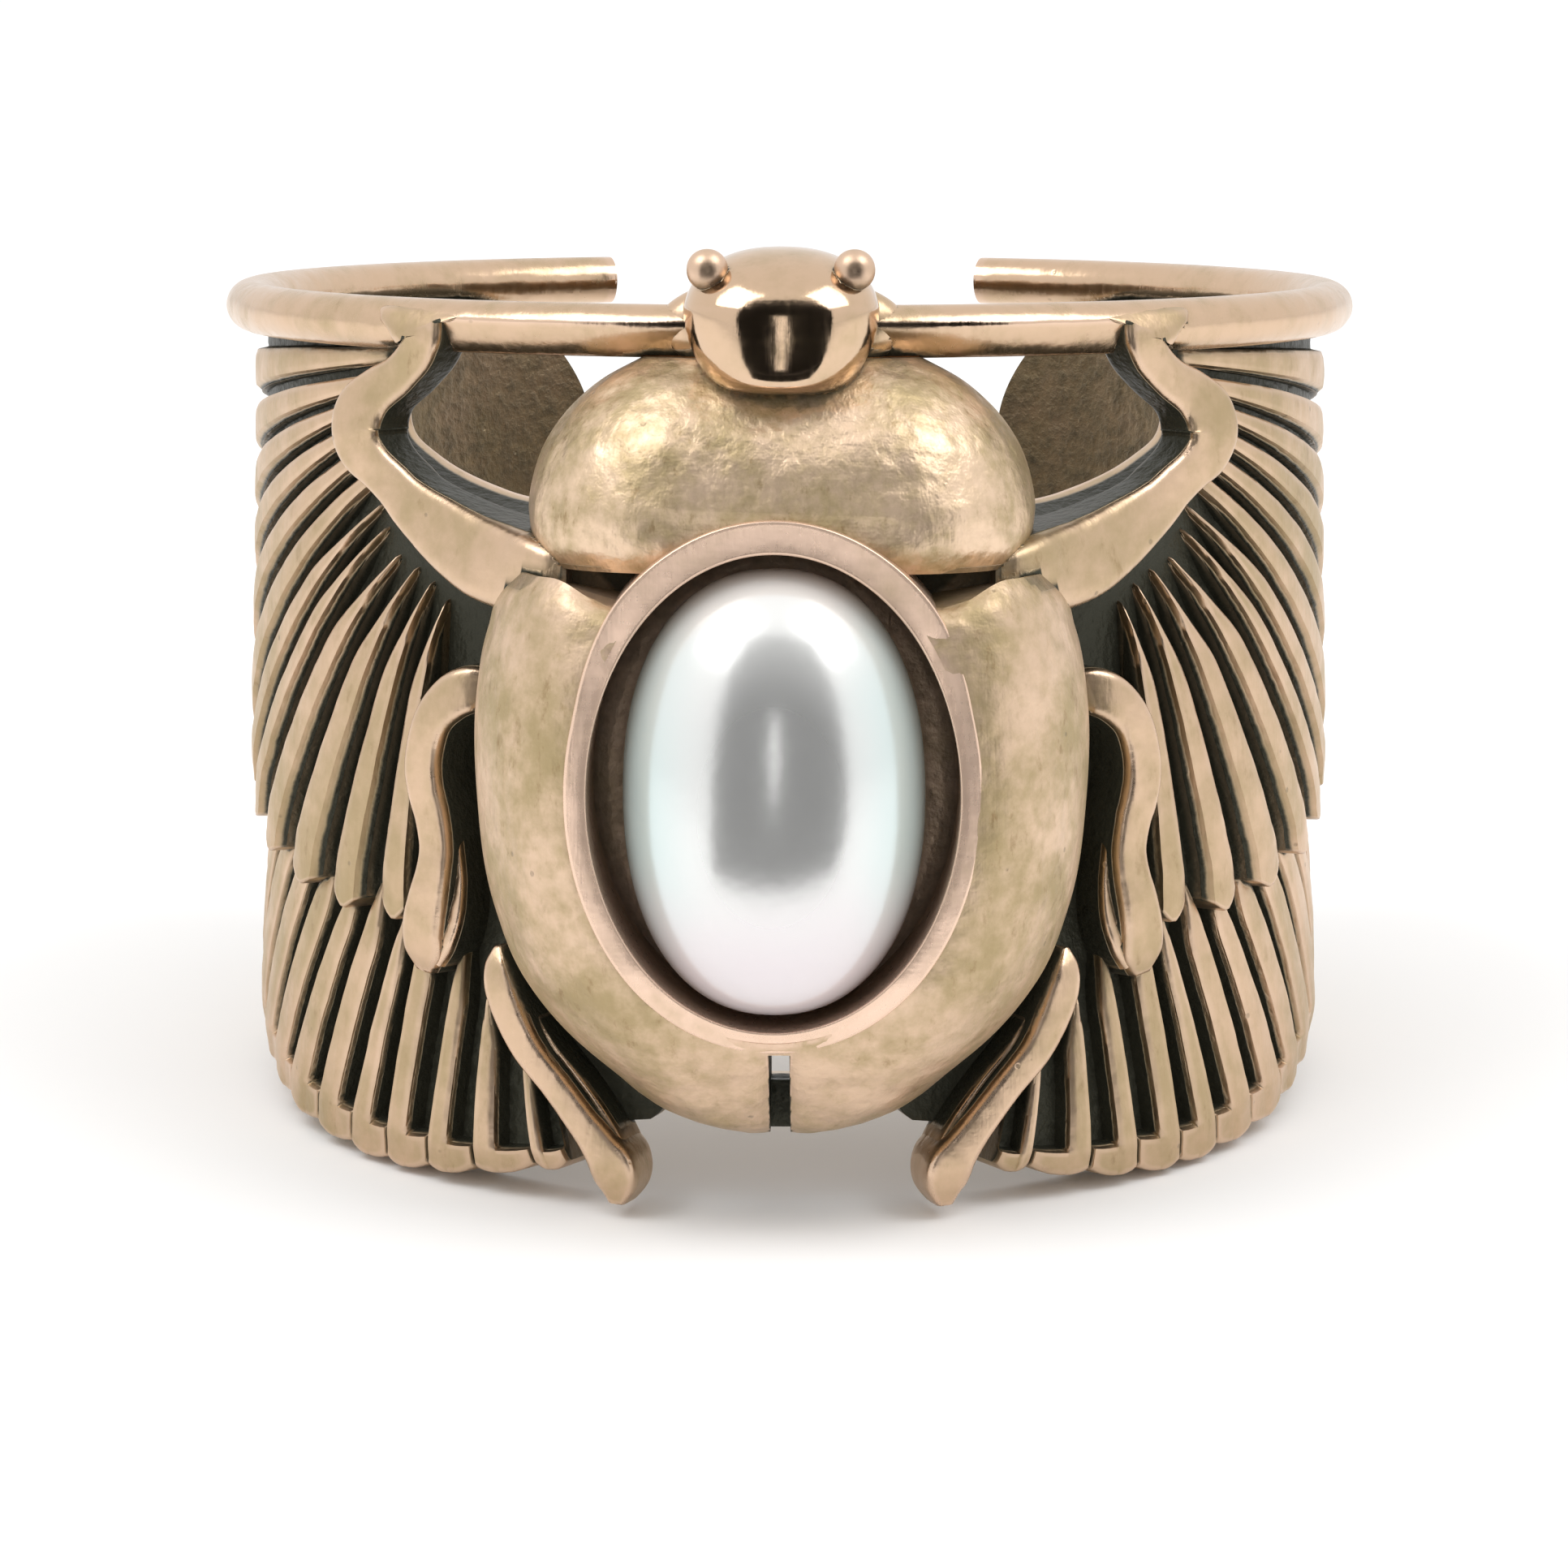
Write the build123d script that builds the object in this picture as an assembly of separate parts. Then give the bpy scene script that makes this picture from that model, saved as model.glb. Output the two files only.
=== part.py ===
from build123d import *
import math
import os

# A cast cuff ring with a winged scarab and one oval pearl, in millimetres.
# Everything is drawn in the ring's own frame first: the finger axis is Z, the scarab
# looks along -Y and X runs across. The last step leans the ring back on its lower edge,
# the way it rests on a table.
# Places on the ring are given as an angle round the finger, in degrees from the middle
# of the front, a height along the finger and a radius. In the tables heights and widths
# are shares of the named sizes that each heading gives.

# driving sizes
FINGER_R = 8.8          # radius of the finger hole
WALL = 0.75             # plain wall under the feathers
UPPER_RIB_RISE = 0.81   # ribs of the upper tier stand out from the wall by this
LOWER_RIB_RISE = 0.69
GROOVE_DEPTH = 0.40
BORED_OFF = 0.5         # shapes reach this far into the finger hole, and the bore trims them
WING_END_DEG = 152.0    # the wings stop here, so the cuff stays open at the back
LEAN_DEG = 7.0          # the ring leans back by this when it stands on its lower edge

RAIL_R = 0.47           # the rail is a round wire
RAIL_Z = 9.25           # height of its centre line
RAIL_RISE = 0.69        # its centre line stands this far outside the wall
RAIL_END_DEG = 156.2    # its rounded ends reach further round than the wings

WELL_X = -0.1           # the pearl sits a little off the middle
WELL_Z = 1.33
WELL_HALF_X = 3.25
WELL_HALF_Z = 4.20
WELL_BACK_WALL = 0.8    # metal between the well's floor and the finger hole
COLLAR_WIDTH = 0.6      # metal round the top of the well
COLLAR_RISE = 3.3       # its front stands this far outside the wall
COLLAR_LOW_Z = 3.2      # below this the wing cases themselves are the well's rim

PEARL_ROOM_X = 0.59     # clear space between the pearl and its well, at the sides
PEARL_ROOM_Z = 0.27     # and at the top and bottom
PEARL_HALF_Y = 2.2
PEARL_GAP = 0.1         # clear space behind the pearl
PEG_R = 0.45
PEG_CLEARANCE = 0.06    # round the peg and past its end
PEG_LENGTH = 1.5

CASES_HALF_X = 5.43     # half width of the wing cases
CASES_RISE = 3.55       # their front stands this far outside the wall
CASES_LOW_Z = -5.0
THORAX_HALF_X = 4.47
THORAX_RISE = 3.1
THORAX_BELOW_RAIL = 0.45
SEAM_Z = 5.0            # the seam between wing cases and thorax
SEAM_HALF = 0.15
WAIST_HALF_X = 3.5      # joins the two bodies behind the seam
WAIST_HALF_Z = 0.5
WAIST_RISE = 1.85

SLIT_WIDTH = 0.36
SLIT_TOP = -3.3
SLIT_FLOOR = 0.95       # metal left behind the slit
SLIT_THROUGH_Z = -4.15  # above this height it goes right through

BAND_LOW_Z = -5.2       # the plain band behind the body
BAND_ABOVE_SEAM = 0.45
BAND_END_DEG = 32.0
WALL_OVERLAP_DEG = 2.0  # the wings' wall starts this far inside the end of the band
WALL_END_DEG = 104.0
WALL_LOW_Z = -1.0
WALL_BELOW_RAIL = 0.25
INSET_LOW_Z = -2.6      # a lower piece of wall closes the corner beside the hind leg
INSET_TOP_Z = 0.0
INSET_END_DEG = 41.5

LEG_HALF = 0.40         # usual half width of a leg
LEG_RISE = 1.3          # usual height of its top over the wall

# the head, neck and eyes are balls stretched to these half sizes
HEAD_HALF = (1.68, 1.55, 1.26)
HEAD_FORWARD = 0.71     # its middle lies this far in front of the rail
HEAD_ABOVE_RAIL = 0.25
NECK_HALF = (2.15, 0.8, 1.02)
NECK_ABOVE_RAIL = 0.13
EYE_R = 0.36
EYE_ASIDE = 1.28        # from the middle of the head
EYE_FORWARD = 0.75
EYE_UP = 0.97

# sizes that follow from them
WALL_R = FINGER_R + WALL
SHEET_BACK_R = FINGER_R - BORED_OFF
BODY_BACK = SHEET_BACK_R * 0.95     # straight backs lie inside the hole across their whole width
UPPER_CREST_R = WALL_R + UPPER_RIB_RISE
LOWER_CREST_R = WALL_R + LOWER_RIB_RISE
RAIL_RING_R = WALL_R + RAIL_RISE
WELL_FLOOR = FINGER_R + WELL_BACK_WALL
PEARL_HALF_X = WELL_HALF_X - PEARL_ROOM_X
PEARL_HALF_Z = WELL_HALF_Z - PEARL_ROOM_Z
SHALLOW_DROP = 0.7 * GROOVE_DEPTH   # ribs lie this much lower where the grooves fade out
UPPER_BACK_R = FINGER_R + WALL / 2  # the upper tier starts inside the wall

# grooves of the upper tier, from the rail down: where each starts behind the front leg,
# where it ends at the tips, and its share of the full depth. Heights are shares of RAIL_Z.
UPPER_GROOVES = [
    dict(start_deg=46.0, start_z=0.968, end_deg=105.5, end_z=0.930, depth=0.5),
    dict(start_deg=47.0, start_z=0.919, end_deg=104.5, end_z=0.778, depth=0.5),
    dict(start_deg=48.0, start_z=0.876, end_deg=103.0, end_z=0.638, depth=0.5),
    dict(start_deg=48.5, start_z=0.843, end_deg=101.0, end_z=0.497, depth=0.6),
    dict(start_deg=49.0, start_z=0.805, end_deg=98.0, end_z=0.362, depth=0.6),
    dict(start_deg=49.5, start_z=0.751, end_deg=94.0, end_z=0.232, depth=0.7),
    dict(start_deg=49.5, start_z=0.697, end_deg=89.0, end_z=0.092, depth=0.8),
    dict(start_deg=49.0, start_z=0.643, end_deg=83.0, end_z=0.016, depth=0.9),
    dict(start_deg=48.5, start_z=0.595, end_deg=76.3, end_z=-0.032, depth=1.0),
    dict(start_deg=46.5, start_z=0.541, end_deg=68.0, end_z=-0.081, depth=1.0),
    dict(start_deg=43.5, start_z=0.524, end_deg=58.0, end_z=-0.119, depth=1.0),
    dict(start_deg=41.2, start_z=0.497, end_deg=49.4, end_z=-0.141, depth=1.0),
    dict(start_deg=39.0, start_z=0.465, end_deg=41.5, end_z=-0.141, depth=1.0),
]

# grooves of the lower tier that the photograph shows, from the body outwards
LOWER_GROOVES = [
    dict(start_deg=25.5, start_z=-0.389, end_deg=22.5, end_z=-0.622, depth=1.0),
    dict(start_deg=28.6, start_z=-0.357, end_deg=26.2, end_z=-0.632, depth=1.0),
    dict(start_deg=32.8, start_z=-0.259, end_deg=33.7, end_z=-0.654, depth=1.0),
    dict(start_deg=35.4, start_z=-0.130, end_deg=40.0, end_z=-0.665, depth=1.0),
    dict(start_deg=40.9, start_z=-0.108, end_deg=46.2, end_z=-0.665, depth=1.0),
    dict(start_deg=43.0, start_z=-0.086, end_deg=52.4, end_z=-0.649, depth=1.0),
    dict(start_deg=47.4, start_z=-0.054, end_deg=59.5, end_z=-0.622, depth=1.0),
    dict(start_deg=50.8, start_z=-0.032, end_deg=67.5, end_z=-0.584, depth=0.9),
    dict(start_deg=57.3, start_z=-0.022, end_deg=74.0, end_z=-0.546, depth=0.8),
    dict(start_deg=64.5, start_z=-0.011, end_deg=81.0, end_z=-0.508, depth=0.7),
    dict(start_deg=71.5, start_z=0.011, end_deg=88.5, end_z=-0.476, depth=0.7),
]
# hidden at the back: more of the same feathers, spread evenly between two lines of
# (angle, height) corners; heights are shares of RAIL_Z
BACK_FEATHERS = 14
BACK_DEPTH = 0.7
BACK_STARTS = [(71.5, 0.011), (82.0, 0.086), (89.0, 0.238), (94.5, 0.432), (98.5, 0.703),
               (99.5, 0.968)]
BACK_ENDS = [(88.5, -0.476), (96.0, -0.478), (140.0, -0.486), (148.5, -0.400),
             (WING_END_DEG, -0.216), (WING_END_DEG, 0.724), (150.5, 0.811), (147.0, 0.865),
             (139.0, 0.968)]

# rows along the feathers of each tier: share of the way, share of the groove's depth, and
# how far the surface drops there, as a share of GROOVE_DEPTH
LOWER_ROWS = [
    dict(way=0.00, depth=1.00, drop=0.90),
    dict(way=0.25, depth=1.00, drop=0.20),
    dict(way=0.55, depth=1.00, drop=0.00),
    dict(way=0.80, depth=0.90, drop=0.00),
    dict(way=0.93, depth=0.45, drop=0.08),
    dict(way=1.00, depth=0.30, drop=0.40),
]
UPPER_ROWS = [
    dict(way=0.00, depth=0.40, drop=1.25),
    dict(way=0.15, depth=0.90, drop=0.75),
    dict(way=0.40, depth=1.00, drop=0.40),
    dict(way=0.70, depth=1.00, drop=0.12),
    dict(way=0.90, depth=0.90, drop=0.00),
    dict(way=1.00, depth=0.60, drop=0.20),
]
LOWER_LOBE = 0.16       # the tips stand out past the ends of the grooves
UPPER_LOBE = 0.22
# outline across one feather: share of its width and share of the groove's depth
FEATHER_OUTLINE = [(0.0, 1.0), (0.2, 0.14), (0.5, 0.0), (0.8, 0.14)]

# legs: each row is a point of the centre line. Heights are shares of RAIL_Z, the half
# width is a share of LEG_HALF, and the top and underside stand out from the wall by
# shares of LEG_RISE.
FRONT_LEG = [
    dict(deg=36.4, z=1.022, half=2.20, top=1.00, under=0.00),
    dict(deg=36.4, z=0.984, half=1.15, top=0.99, under=0.04),
    dict(deg=38.0, z=0.941, half=0.97, top=0.96, under=-0.19),
    dict(deg=40.5, z=0.901, half=0.97, top=0.93, under=-0.42),
    dict(deg=43.6, z=0.867, half=1.12, top=0.95, under=-0.42),
    dict(deg=45.6, z=0.830, half=1.30, top=0.99, under=-0.42),
    dict(deg=46.2, z=0.791, half=1.32, top=1.02, under=-0.42),
    dict(deg=45.4, z=0.755, half=1.25, top=1.01, under=-0.42),
    dict(deg=43.4, z=0.720, half=1.10, top=0.98, under=-0.42),
    dict(deg=41.0, z=0.686, half=1.12, top=0.96, under=-0.42),
    dict(deg=38.7, z=0.652, half=1.27, top=0.98, under=-0.42),
    dict(deg=34.5, z=0.606, half=1.60, top=1.08, under=-0.42),
    dict(deg=30.0, z=0.568, half=1.85, top=1.27, under=-0.42),
    dict(deg=26.5, z=0.549, half=1.93, top=1.44, under=-0.42),
    dict(deg=23.0, z=0.538, half=1.80, top=1.62, under=-0.42),
    dict(deg=19.5, z=0.536, half=1.50, top=1.73, under=-0.42),
]
MIDDLE_LEG = [
    dict(deg=30.6, z=0.303, half=0.85, top=0.70, under=-0.27),
    dict(deg=32.4, z=0.298, half=1.05, top=0.82, under=-0.27),
    dict(deg=34.3, z=0.281, half=1.05, top=0.88, under=-0.27),
    dict(deg=36.3, z=0.242, half=1.00, top=0.92, under=-0.27),
    dict(deg=37.4, z=0.192, half=0.97, top=0.92, under=-0.27),
    dict(deg=37.9, z=0.135, half=1.00, top=0.90, under=-0.27),
    dict(deg=37.5, z=0.083, half=0.97, top=0.88, under=-0.27),
    dict(deg=36.9, z=0.042, half=0.92, top=0.87, under=-0.27),
    dict(deg=36.5, z=-0.015, half=0.90, top=0.85, under=-0.27),
    dict(deg=36.8, z=-0.066, half=0.95, top=0.87, under=-0.27),
    dict(deg=37.5, z=-0.120, half=1.07, top=0.88, under=-0.27),
    dict(deg=38.2, z=-0.178, half=1.15, top=0.87, under=-0.27),
    dict(deg=38.5, z=-0.229, half=1.07, top=0.79, under=-0.27),
    dict(deg=38.9, z=-0.265, half=0.55, top=0.65, under=-0.27),
]
HIND_LEG = [
    dict(deg=29.3, z=-0.199, half=0.25, top=0.69, under=-0.27),
    dict(deg=29.2, z=-0.231, half=0.60, top=0.81, under=-0.27),
    dict(deg=28.7, z=-0.274, half=0.82, top=0.85, under=-0.27),
    dict(deg=27.7, z=-0.326, half=0.85, top=0.85, under=-0.27),
    dict(deg=25.8, z=-0.396, half=0.77, top=0.84, under=-0.27),
    dict(deg=22.7, z=-0.463, half=0.72, top=0.84, under=-0.27),
    dict(deg=19.6, z=-0.536, half=0.77, top=0.85, under=-0.27),
    dict(deg=18.0, z=-0.576, half=0.87, top=0.87, under=-0.27),
    dict(deg=16.8, z=-0.612, half=1.05, top=0.85, under=-0.27),
    dict(deg=16.4, z=-0.651, half=0.92, top=0.79, under=-0.19),
    dict(deg=16.6, z=-0.690, half=0.37, top=0.65, under=-0.04),
]
# outline across a leg: place across it and share of its height
LEG_OUTLINE = [(-1.0, 0.0), (-1.0, 0.66), (-0.86, 0.88), (-0.48, 0.98), (0.0, 1.0),
               (0.48, 0.98), (0.86, 0.88), (1.0, 0.66), (1.0, 0.0)]

# level sections of the two bodies, from the lowest to the highest. The height is a share of
# the way up, half and flat are shares of the body's half width, and the middle and the side
# edges stand out from the wall by shares of the body's rise.
CASES = [
    dict(z=0.000, half=0.260, flat=0.150, front=0.290, side=-0.014),
    dict(z=0.041, half=0.405, flat=0.210, front=0.455, side=-0.028),
    dict(z=0.102, half=0.543, flat=0.276, front=0.634, side=-0.042),
    dict(z=0.173, half=0.700, flat=0.350, front=0.789, side=-0.042),
    dict(z=0.274, half=0.847, flat=0.424, front=0.910, side=-0.028),
    dict(z=0.406, half=0.945, flat=0.479, front=0.972, side=-0.014),
    dict(z=0.609, half=1.000, flat=0.534, front=1.000, side=0.014),
    dict(z=0.792, half=1.000, flat=0.534, front=1.000, side=0.014),
    dict(z=0.914, half=0.958, flat=0.516, front=0.966, side=0.070),
    dict(z=0.975, half=0.908, flat=0.497, front=0.915, side=0.127),
    dict(z=1.000, half=0.847, flat=0.479, front=0.859, side=0.239),
]
THORAX = [
    dict(z=0.000, half=0.884, flat=0.358, front=0.903, side=0.339),
    dict(z=0.096, half=0.966, flat=0.380, front=0.977, side=0.210),
    dict(z=0.233, half=1.000, flat=0.403, front=1.000, side=0.113),
    dict(z=0.425, half=0.984, flat=0.403, front=0.958, side=0.081),
    dict(z=0.616, half=0.922, flat=0.380, front=0.871, side=0.081),
    dict(z=0.781, half=0.817, flat=0.336, front=0.742, side=0.097),
    dict(z=0.904, half=0.694, flat=0.291, front=0.597, side=0.113),
    dict(z=1.000, half=0.548, flat=0.224, front=0.419, side=0.129),
]

# pierced window inside each front leg, looked at from WINDOW_DEG: its corners on the
# inside of the wall and on the outside. Heights are shares of the window's height.
WINDOW_DEG = 25.0
WINDOW_ABOVE_SEAM = 0.5
WINDOW_BELOW_RAIL = 0.45
WINDOW_CORNERS = [
    dict(in_deg=10.0, in_z=1.000, out_deg=14.0, out_z=1.000),
    dict(in_deg=42.0, in_z=1.000, out_deg=36.5, out_z=1.000),
    dict(in_deg=43.8, in_z=0.879, out_deg=38.8, out_z=0.833),
    dict(in_deg=47.0, in_z=0.742, out_deg=43.4, out_z=0.697),
    dict(in_deg=48.8, in_z=0.652, out_deg=46.4, out_z=0.591),
    dict(in_deg=49.4, in_z=0.545, out_deg=46.8, out_z=0.485),
    dict(in_deg=48.8, in_z=0.470, out_deg=45.4, out_z=0.394),
    dict(in_deg=45.5, in_z=0.400, out_deg=42.2, out_z=0.288),
    dict(in_deg=42.0, in_z=0.333, out_deg=39.1, out_z=0.188),
    dict(in_deg=36.5, in_z=0.261, out_deg=35.0, out_z=0.106),
    dict(in_deg=31.0, in_z=0.197, out_deg=30.0, out_z=0.061),
    dict(in_deg=10.0, in_z=0.076, out_deg=14.0, out_z=0.000),
]


def place(deg, z, radius):
    """The point at this angle round the finger, this height and this radius."""
    turn = math.radians(deg)
    return (radius * math.sin(turn), -radius * math.cos(turn), z)


def solid_of(triangles):
    """A solid whose skin is this closed list of triangles."""
    faces = [Face(Wire.make_polygon(list(corners))) for corners in triangles]
    return Solid(Shell(faces))


def quad(a, b, c, d):
    """Two triangles that fill the four corners."""
    return [(a, b, c), (a, c, d)]


def along(line, share):
    """A place that is this share of the way along a line of (angle, height) corners."""
    steps = []
    for first, second in zip(line, line[1:]):
        across = math.radians(second[0] - first[0]) * UPPER_CREST_R
        steps.append(math.hypot(across, (second[1] - first[1]) * RAIL_Z))
    left = share * sum(steps)
    for (first, second), step in zip(zip(line, line[1:]), steps):
        if left <= step:
            part = left / step
            break
        left -= step
    else:
        part = 1.0
    return (first[0] + (second[0] - first[0]) * part, first[1] + (second[1] - first[1]) * part)


def feather_sheet(grooves, crest_r, back_r, rows, lobe):
    """Raised feathers between neighbouring grooves, as one faceted solid.

    The tips stand out past the grooves by the lobe.
    """
    outer = []
    inner = []
    for row in rows:
        outer_row = []
        inner_row = []
        for index, groove in enumerate(grooves):
            last = index == len(grooves) - 1
            after = groove if last else grooves[index + 1]
            for side, fall in FEATHER_OUTLINE[:1] if last else FEATHER_OUTLINE:
                start_deg = groove["start_deg"] * (1 - side) + after["start_deg"] * side
                start_z = groove["start_z"] * (1 - side) + after["start_z"] * side
                end_deg = groove["end_deg"] * (1 - side) + after["end_deg"] * side
                end_z = groove["end_z"] * (1 - side) + after["end_z"] * side
                run = math.hypot(math.radians(end_deg - start_deg) * crest_r,
                                 (end_z - start_z) * RAIL_Z)
                reach = row["way"]
                if row is rows[-1]:
                    reach += lobe * 4 * side * (1 - side) / run
                deg = start_deg + (end_deg - start_deg) * reach
                z = (start_z + (end_z - start_z) * reach) * RAIL_Z
                share_here = groove["depth"] * (1 - side) + after["depth"] * side
                radius = crest_r - GROOVE_DEPTH * (row["drop"] + share_here * row["depth"] * fall)
                radius -= SHALLOW_DROP * (1 - share_here)
                outer_row.append(place(deg, z, radius))
                if side == 0.0:
                    inner_row.append(place(deg, z, back_r))
        outer.append(outer_row)
        inner.append(inner_row)
    triangles = []
    for upper, lower in zip(outer, outer[1:]):
        for i in range(len(upper) - 1):
            triangles += quad(upper[i], lower[i], lower[i + 1], upper[i + 1])
    for upper, lower in zip(inner, inner[1:]):
        for i in range(len(upper) - 1):
            triangles += quad(upper[i], upper[i + 1], lower[i + 1], lower[i])
    for outside, inside in ((outer[0], inner[0]), (outer[-1], inner[-1])):
        for i in range(len(inside) - 1):
            rim = outside[4 * i:4 * i + 5]
            for first, second in zip(rim, rim[1:]):
                triangles.append((inside[i], first, second))
            triangles.append((inside[i], rim[-1], inside[i + 1]))
    for end in (0, -1):
        for k in range(len(rows) - 1):
            triangles += quad(outer[k][end], outer[k + 1][end], inner[k + 1][end], inner[k][end])
    return solid_of(triangles)


def leg(rows):
    """A rounded bar that follows its table over the wing, as one faceted solid."""
    rings = []
    for index, row in enumerate(rows):
        before = rows[max(index - 1, 0)]
        after = rows[min(index + 1, len(rows) - 1)]
        top = WALL_R + row["top"] * LEG_RISE
        under = WALL_R + row["under"] * LEG_RISE
        run = math.radians(after["deg"] - before["deg"]) * top
        rise = (after["z"] - before["z"]) * RAIL_Z
        length = math.hypot(run, rise)
        ring = []
        for across, height in LEG_OUTLINE:
            shift = across * row["half"] * LEG_HALF
            deg = row["deg"] + math.degrees(-rise / length * shift / top)
            z = row["z"] * RAIL_Z + run / length * shift
            ring.append(place(deg, z, under + (top - under) * height))
        rings.append(ring)
    triangles = []
    count = len(LEG_OUTLINE)
    for first, second in zip(rings, rings[1:]):
        for i in range(count):
            j = (i + 1) % count
            triangles += quad(first[i], second[i], second[j], first[j])
    for ring in (rings[0], rings[-1]):
        for i in range(1, count - 1):
            triangles.append((ring[0], ring[i], ring[i + 1]))
    return solid_of(triangles)


def body_section(row, half_x, rise, z):
    """Level outline of a domed body: flat middle, round shoulders, straight back."""
    half = row["half"] * half_x
    flat = row["flat"] * half_x
    front = WALL_R + row["front"] * rise
    side = WALL_R + row["side"] * rise
    edge = front - 0.02 * flat
    bend = math.sin(math.radians(45))
    bend_x = flat + (half - flat) * bend
    bend_y = side + (edge - side) * bend
    back = 0.84 * half
    outline = [
        ThreePointArc((-half, -side, z), (-bend_x, -bend_y, z), (-flat, -edge, z)),
        ThreePointArc((-flat, -edge, z), (0, -front, z), (flat, -edge, z)),
        ThreePointArc((flat, -edge, z), (bend_x, -bend_y, z), (half, -side, z)),
        Line((half, -side, z), (back, -BODY_BACK, z)),
        Line((back, -BODY_BACK, z), (-back, -BODY_BACK, z)),
        Line((-back, -BODY_BACK, z), (-half, -side, z)),
    ]
    return Face(Wire(outline))


def body(rows, half_x, rise, low, high):
    """A domed body lofted through its level sections."""
    return loft([body_section(row, half_x, rise, low + (high - low) * row["z"]) for row in rows])


def ball(centre, half):
    """A ball stretched to these half sizes; the centre's middle value points forward."""
    x, forward, z = centre
    shape = scale(Sphere(1.0), by=half)
    return Pos(x, -forward, z) * shape


def ring_sector(inner, outer, low, high, first_deg, last_deg):
    """Part of a ring wall between two heights and two angles from the front."""
    middle = (inner + outer) / 2
    face = Plane.YZ * Pos(-middle, (low + high) / 2) * Rectangle(outer - inner, high - low)
    return Rot(0, 0, first_deg) * revolve(face, Axis.Z, last_deg - first_deg)


def forward_ellipse(half_x, half_z, near, far):
    """An oval bar along the view, from one distance in front of the finger axis to another."""
    plane = Plane(origin=(WELL_X, -near, WELL_Z), x_dir=(1, 0, 0), z_dir=(0, -1, 0))
    return extrude(plane * Ellipse(half_x, half_z), far - near)


def window_face(distance):
    """The window's outline on a plane this far from the finger axis."""
    outer_r = WALL_R + WALL
    depth = math.cos(math.radians(20.0))    # from the axis, the planes stand at 20 degrees
    share = (distance / depth - FINGER_R) / (outer_r - FINGER_R)
    low = SEAM_Z + WINDOW_ABOVE_SEAM
    height = RAIL_Z - WINDOW_BELOW_RAIL - low
    corners = []
    for row in WINDOW_CORNERS:
        inside = FINGER_R * math.sin(math.radians(row["in_deg"] - WINDOW_DEG))
        outside = outer_r * math.sin(math.radians(row["out_deg"] - WINDOW_DEG))
        corners.append((inside + (outside - inside) * share,
                        low + height * (row["in_z"] + (row["out_z"] - row["in_z"]) * share)))
    plane = Plane(origin=place(WINDOW_DEG, 0, distance), x_dir=place(WINDOW_DEG + 90, 0, 1),
                  z_dir=place(WINDOW_DEG, 0, 1))
    return plane * make_face(Polyline(corners, close=True))


def wing():
    """One wing with its legs, on the side where X is positive."""
    start_deg = BAND_END_DEG - WALL_OVERLAP_DEG
    shell = ring_sector(SHEET_BACK_R, WALL_R, WALL_LOW_Z, RAIL_Z - WALL_BELOW_RAIL, start_deg,
                        WALL_END_DEG)
    shell += ring_sector(SHEET_BACK_R, WALL_R, INSET_LOW_Z, INSET_TOP_Z, start_deg, INSET_END_DEG)
    back = []
    for number in range(1, BACK_FEATHERS + 1):
        start = along(BACK_STARTS, number / BACK_FEATHERS)
        end = along(BACK_ENDS, number / BACK_FEATHERS)
        back.append(dict(start_deg=start[0], start_z=start[1], end_deg=end[0], end_z=end[1],
                         depth=BACK_DEPTH))
    lower = feather_sheet(LOWER_GROOVES + back, LOWER_CREST_R, SHEET_BACK_R, LOWER_ROWS,
                          LOWER_LOBE)
    upper = feather_sheet(UPPER_GROOVES, UPPER_CREST_R, UPPER_BACK_R, UPPER_ROWS, UPPER_LOBE)
    shape = shell + lower + upper
    near = FINGER_R - 4 * WALL / 1.5
    far = UPPER_CREST_R + 1.25 * WALL
    shape -= loft([window_face(near), window_face(far)], ruled=True)
    for rows in (FRONT_LEG, MIDDLE_LEG, HIND_LEG):
        shape = shape + leg(rows)
    return shape


def rail():
    """The round wire along the upper edge, with rounded ends."""
    start = -RAIL_END_DEG
    circle = Plane.YZ * Pos(-RAIL_RING_R, RAIL_Z) * Circle(RAIL_R)
    wire = Rot(0, 0, start) * revolve(circle, Axis.Z, 2 * RAIL_END_DEG)
    for deg in (-RAIL_END_DEG, RAIL_END_DEG):
        wire += Pos(*place(deg, RAIL_Z, RAIL_RING_R)) * Sphere(RAIL_R)
    return wire


def scarab():
    """The insect's body, without its legs."""
    shape = body(CASES, CASES_HALF_X, CASES_RISE, CASES_LOW_Z, SEAM_Z - SEAM_HALF)
    shape += body(THORAX, THORAX_HALF_X, THORAX_RISE, SEAM_Z + SEAM_HALF,
                  RAIL_Z - THORAX_BELOW_RAIL)
    shape += box_between((-WAIST_HALF_X, -(WALL_R + WAIST_RISE), SEAM_Z - WAIST_HALF_Z),
                         (WAIST_HALF_X, -BODY_BACK, SEAM_Z + WAIST_HALF_Z))
    collar_front = WALL_R + COLLAR_RISE
    collar = forward_ellipse(WELL_HALF_X + COLLAR_WIDTH, WELL_HALF_Z + COLLAR_WIDTH,
                             BODY_BACK, collar_front)
    shape += collar - box_between((-9, -20, -9), (9, 0, COLLAR_LOW_Z))
    head = (0.0, RAIL_RING_R + HEAD_FORWARD, RAIL_Z + HEAD_ABOVE_RAIL)
    shape += ball(head, HEAD_HALF)
    shape += ball((0.0, RAIL_RING_R, RAIL_Z + NECK_ABOVE_RAIL), NECK_HALF)
    for side in (-1, 1):
        eye = Pos(side * EYE_ASIDE, -(head[1] + EYE_FORWARD), head[2] + EYE_UP)
        shape += eye * Sphere(EYE_R)
    shape += ring_sector(SHEET_BACK_R, WALL_R, BAND_LOW_Z, SEAM_Z + BAND_ABOVE_SEAM,
                         -BAND_END_DEG, BAND_END_DEG)
    return shape


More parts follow.
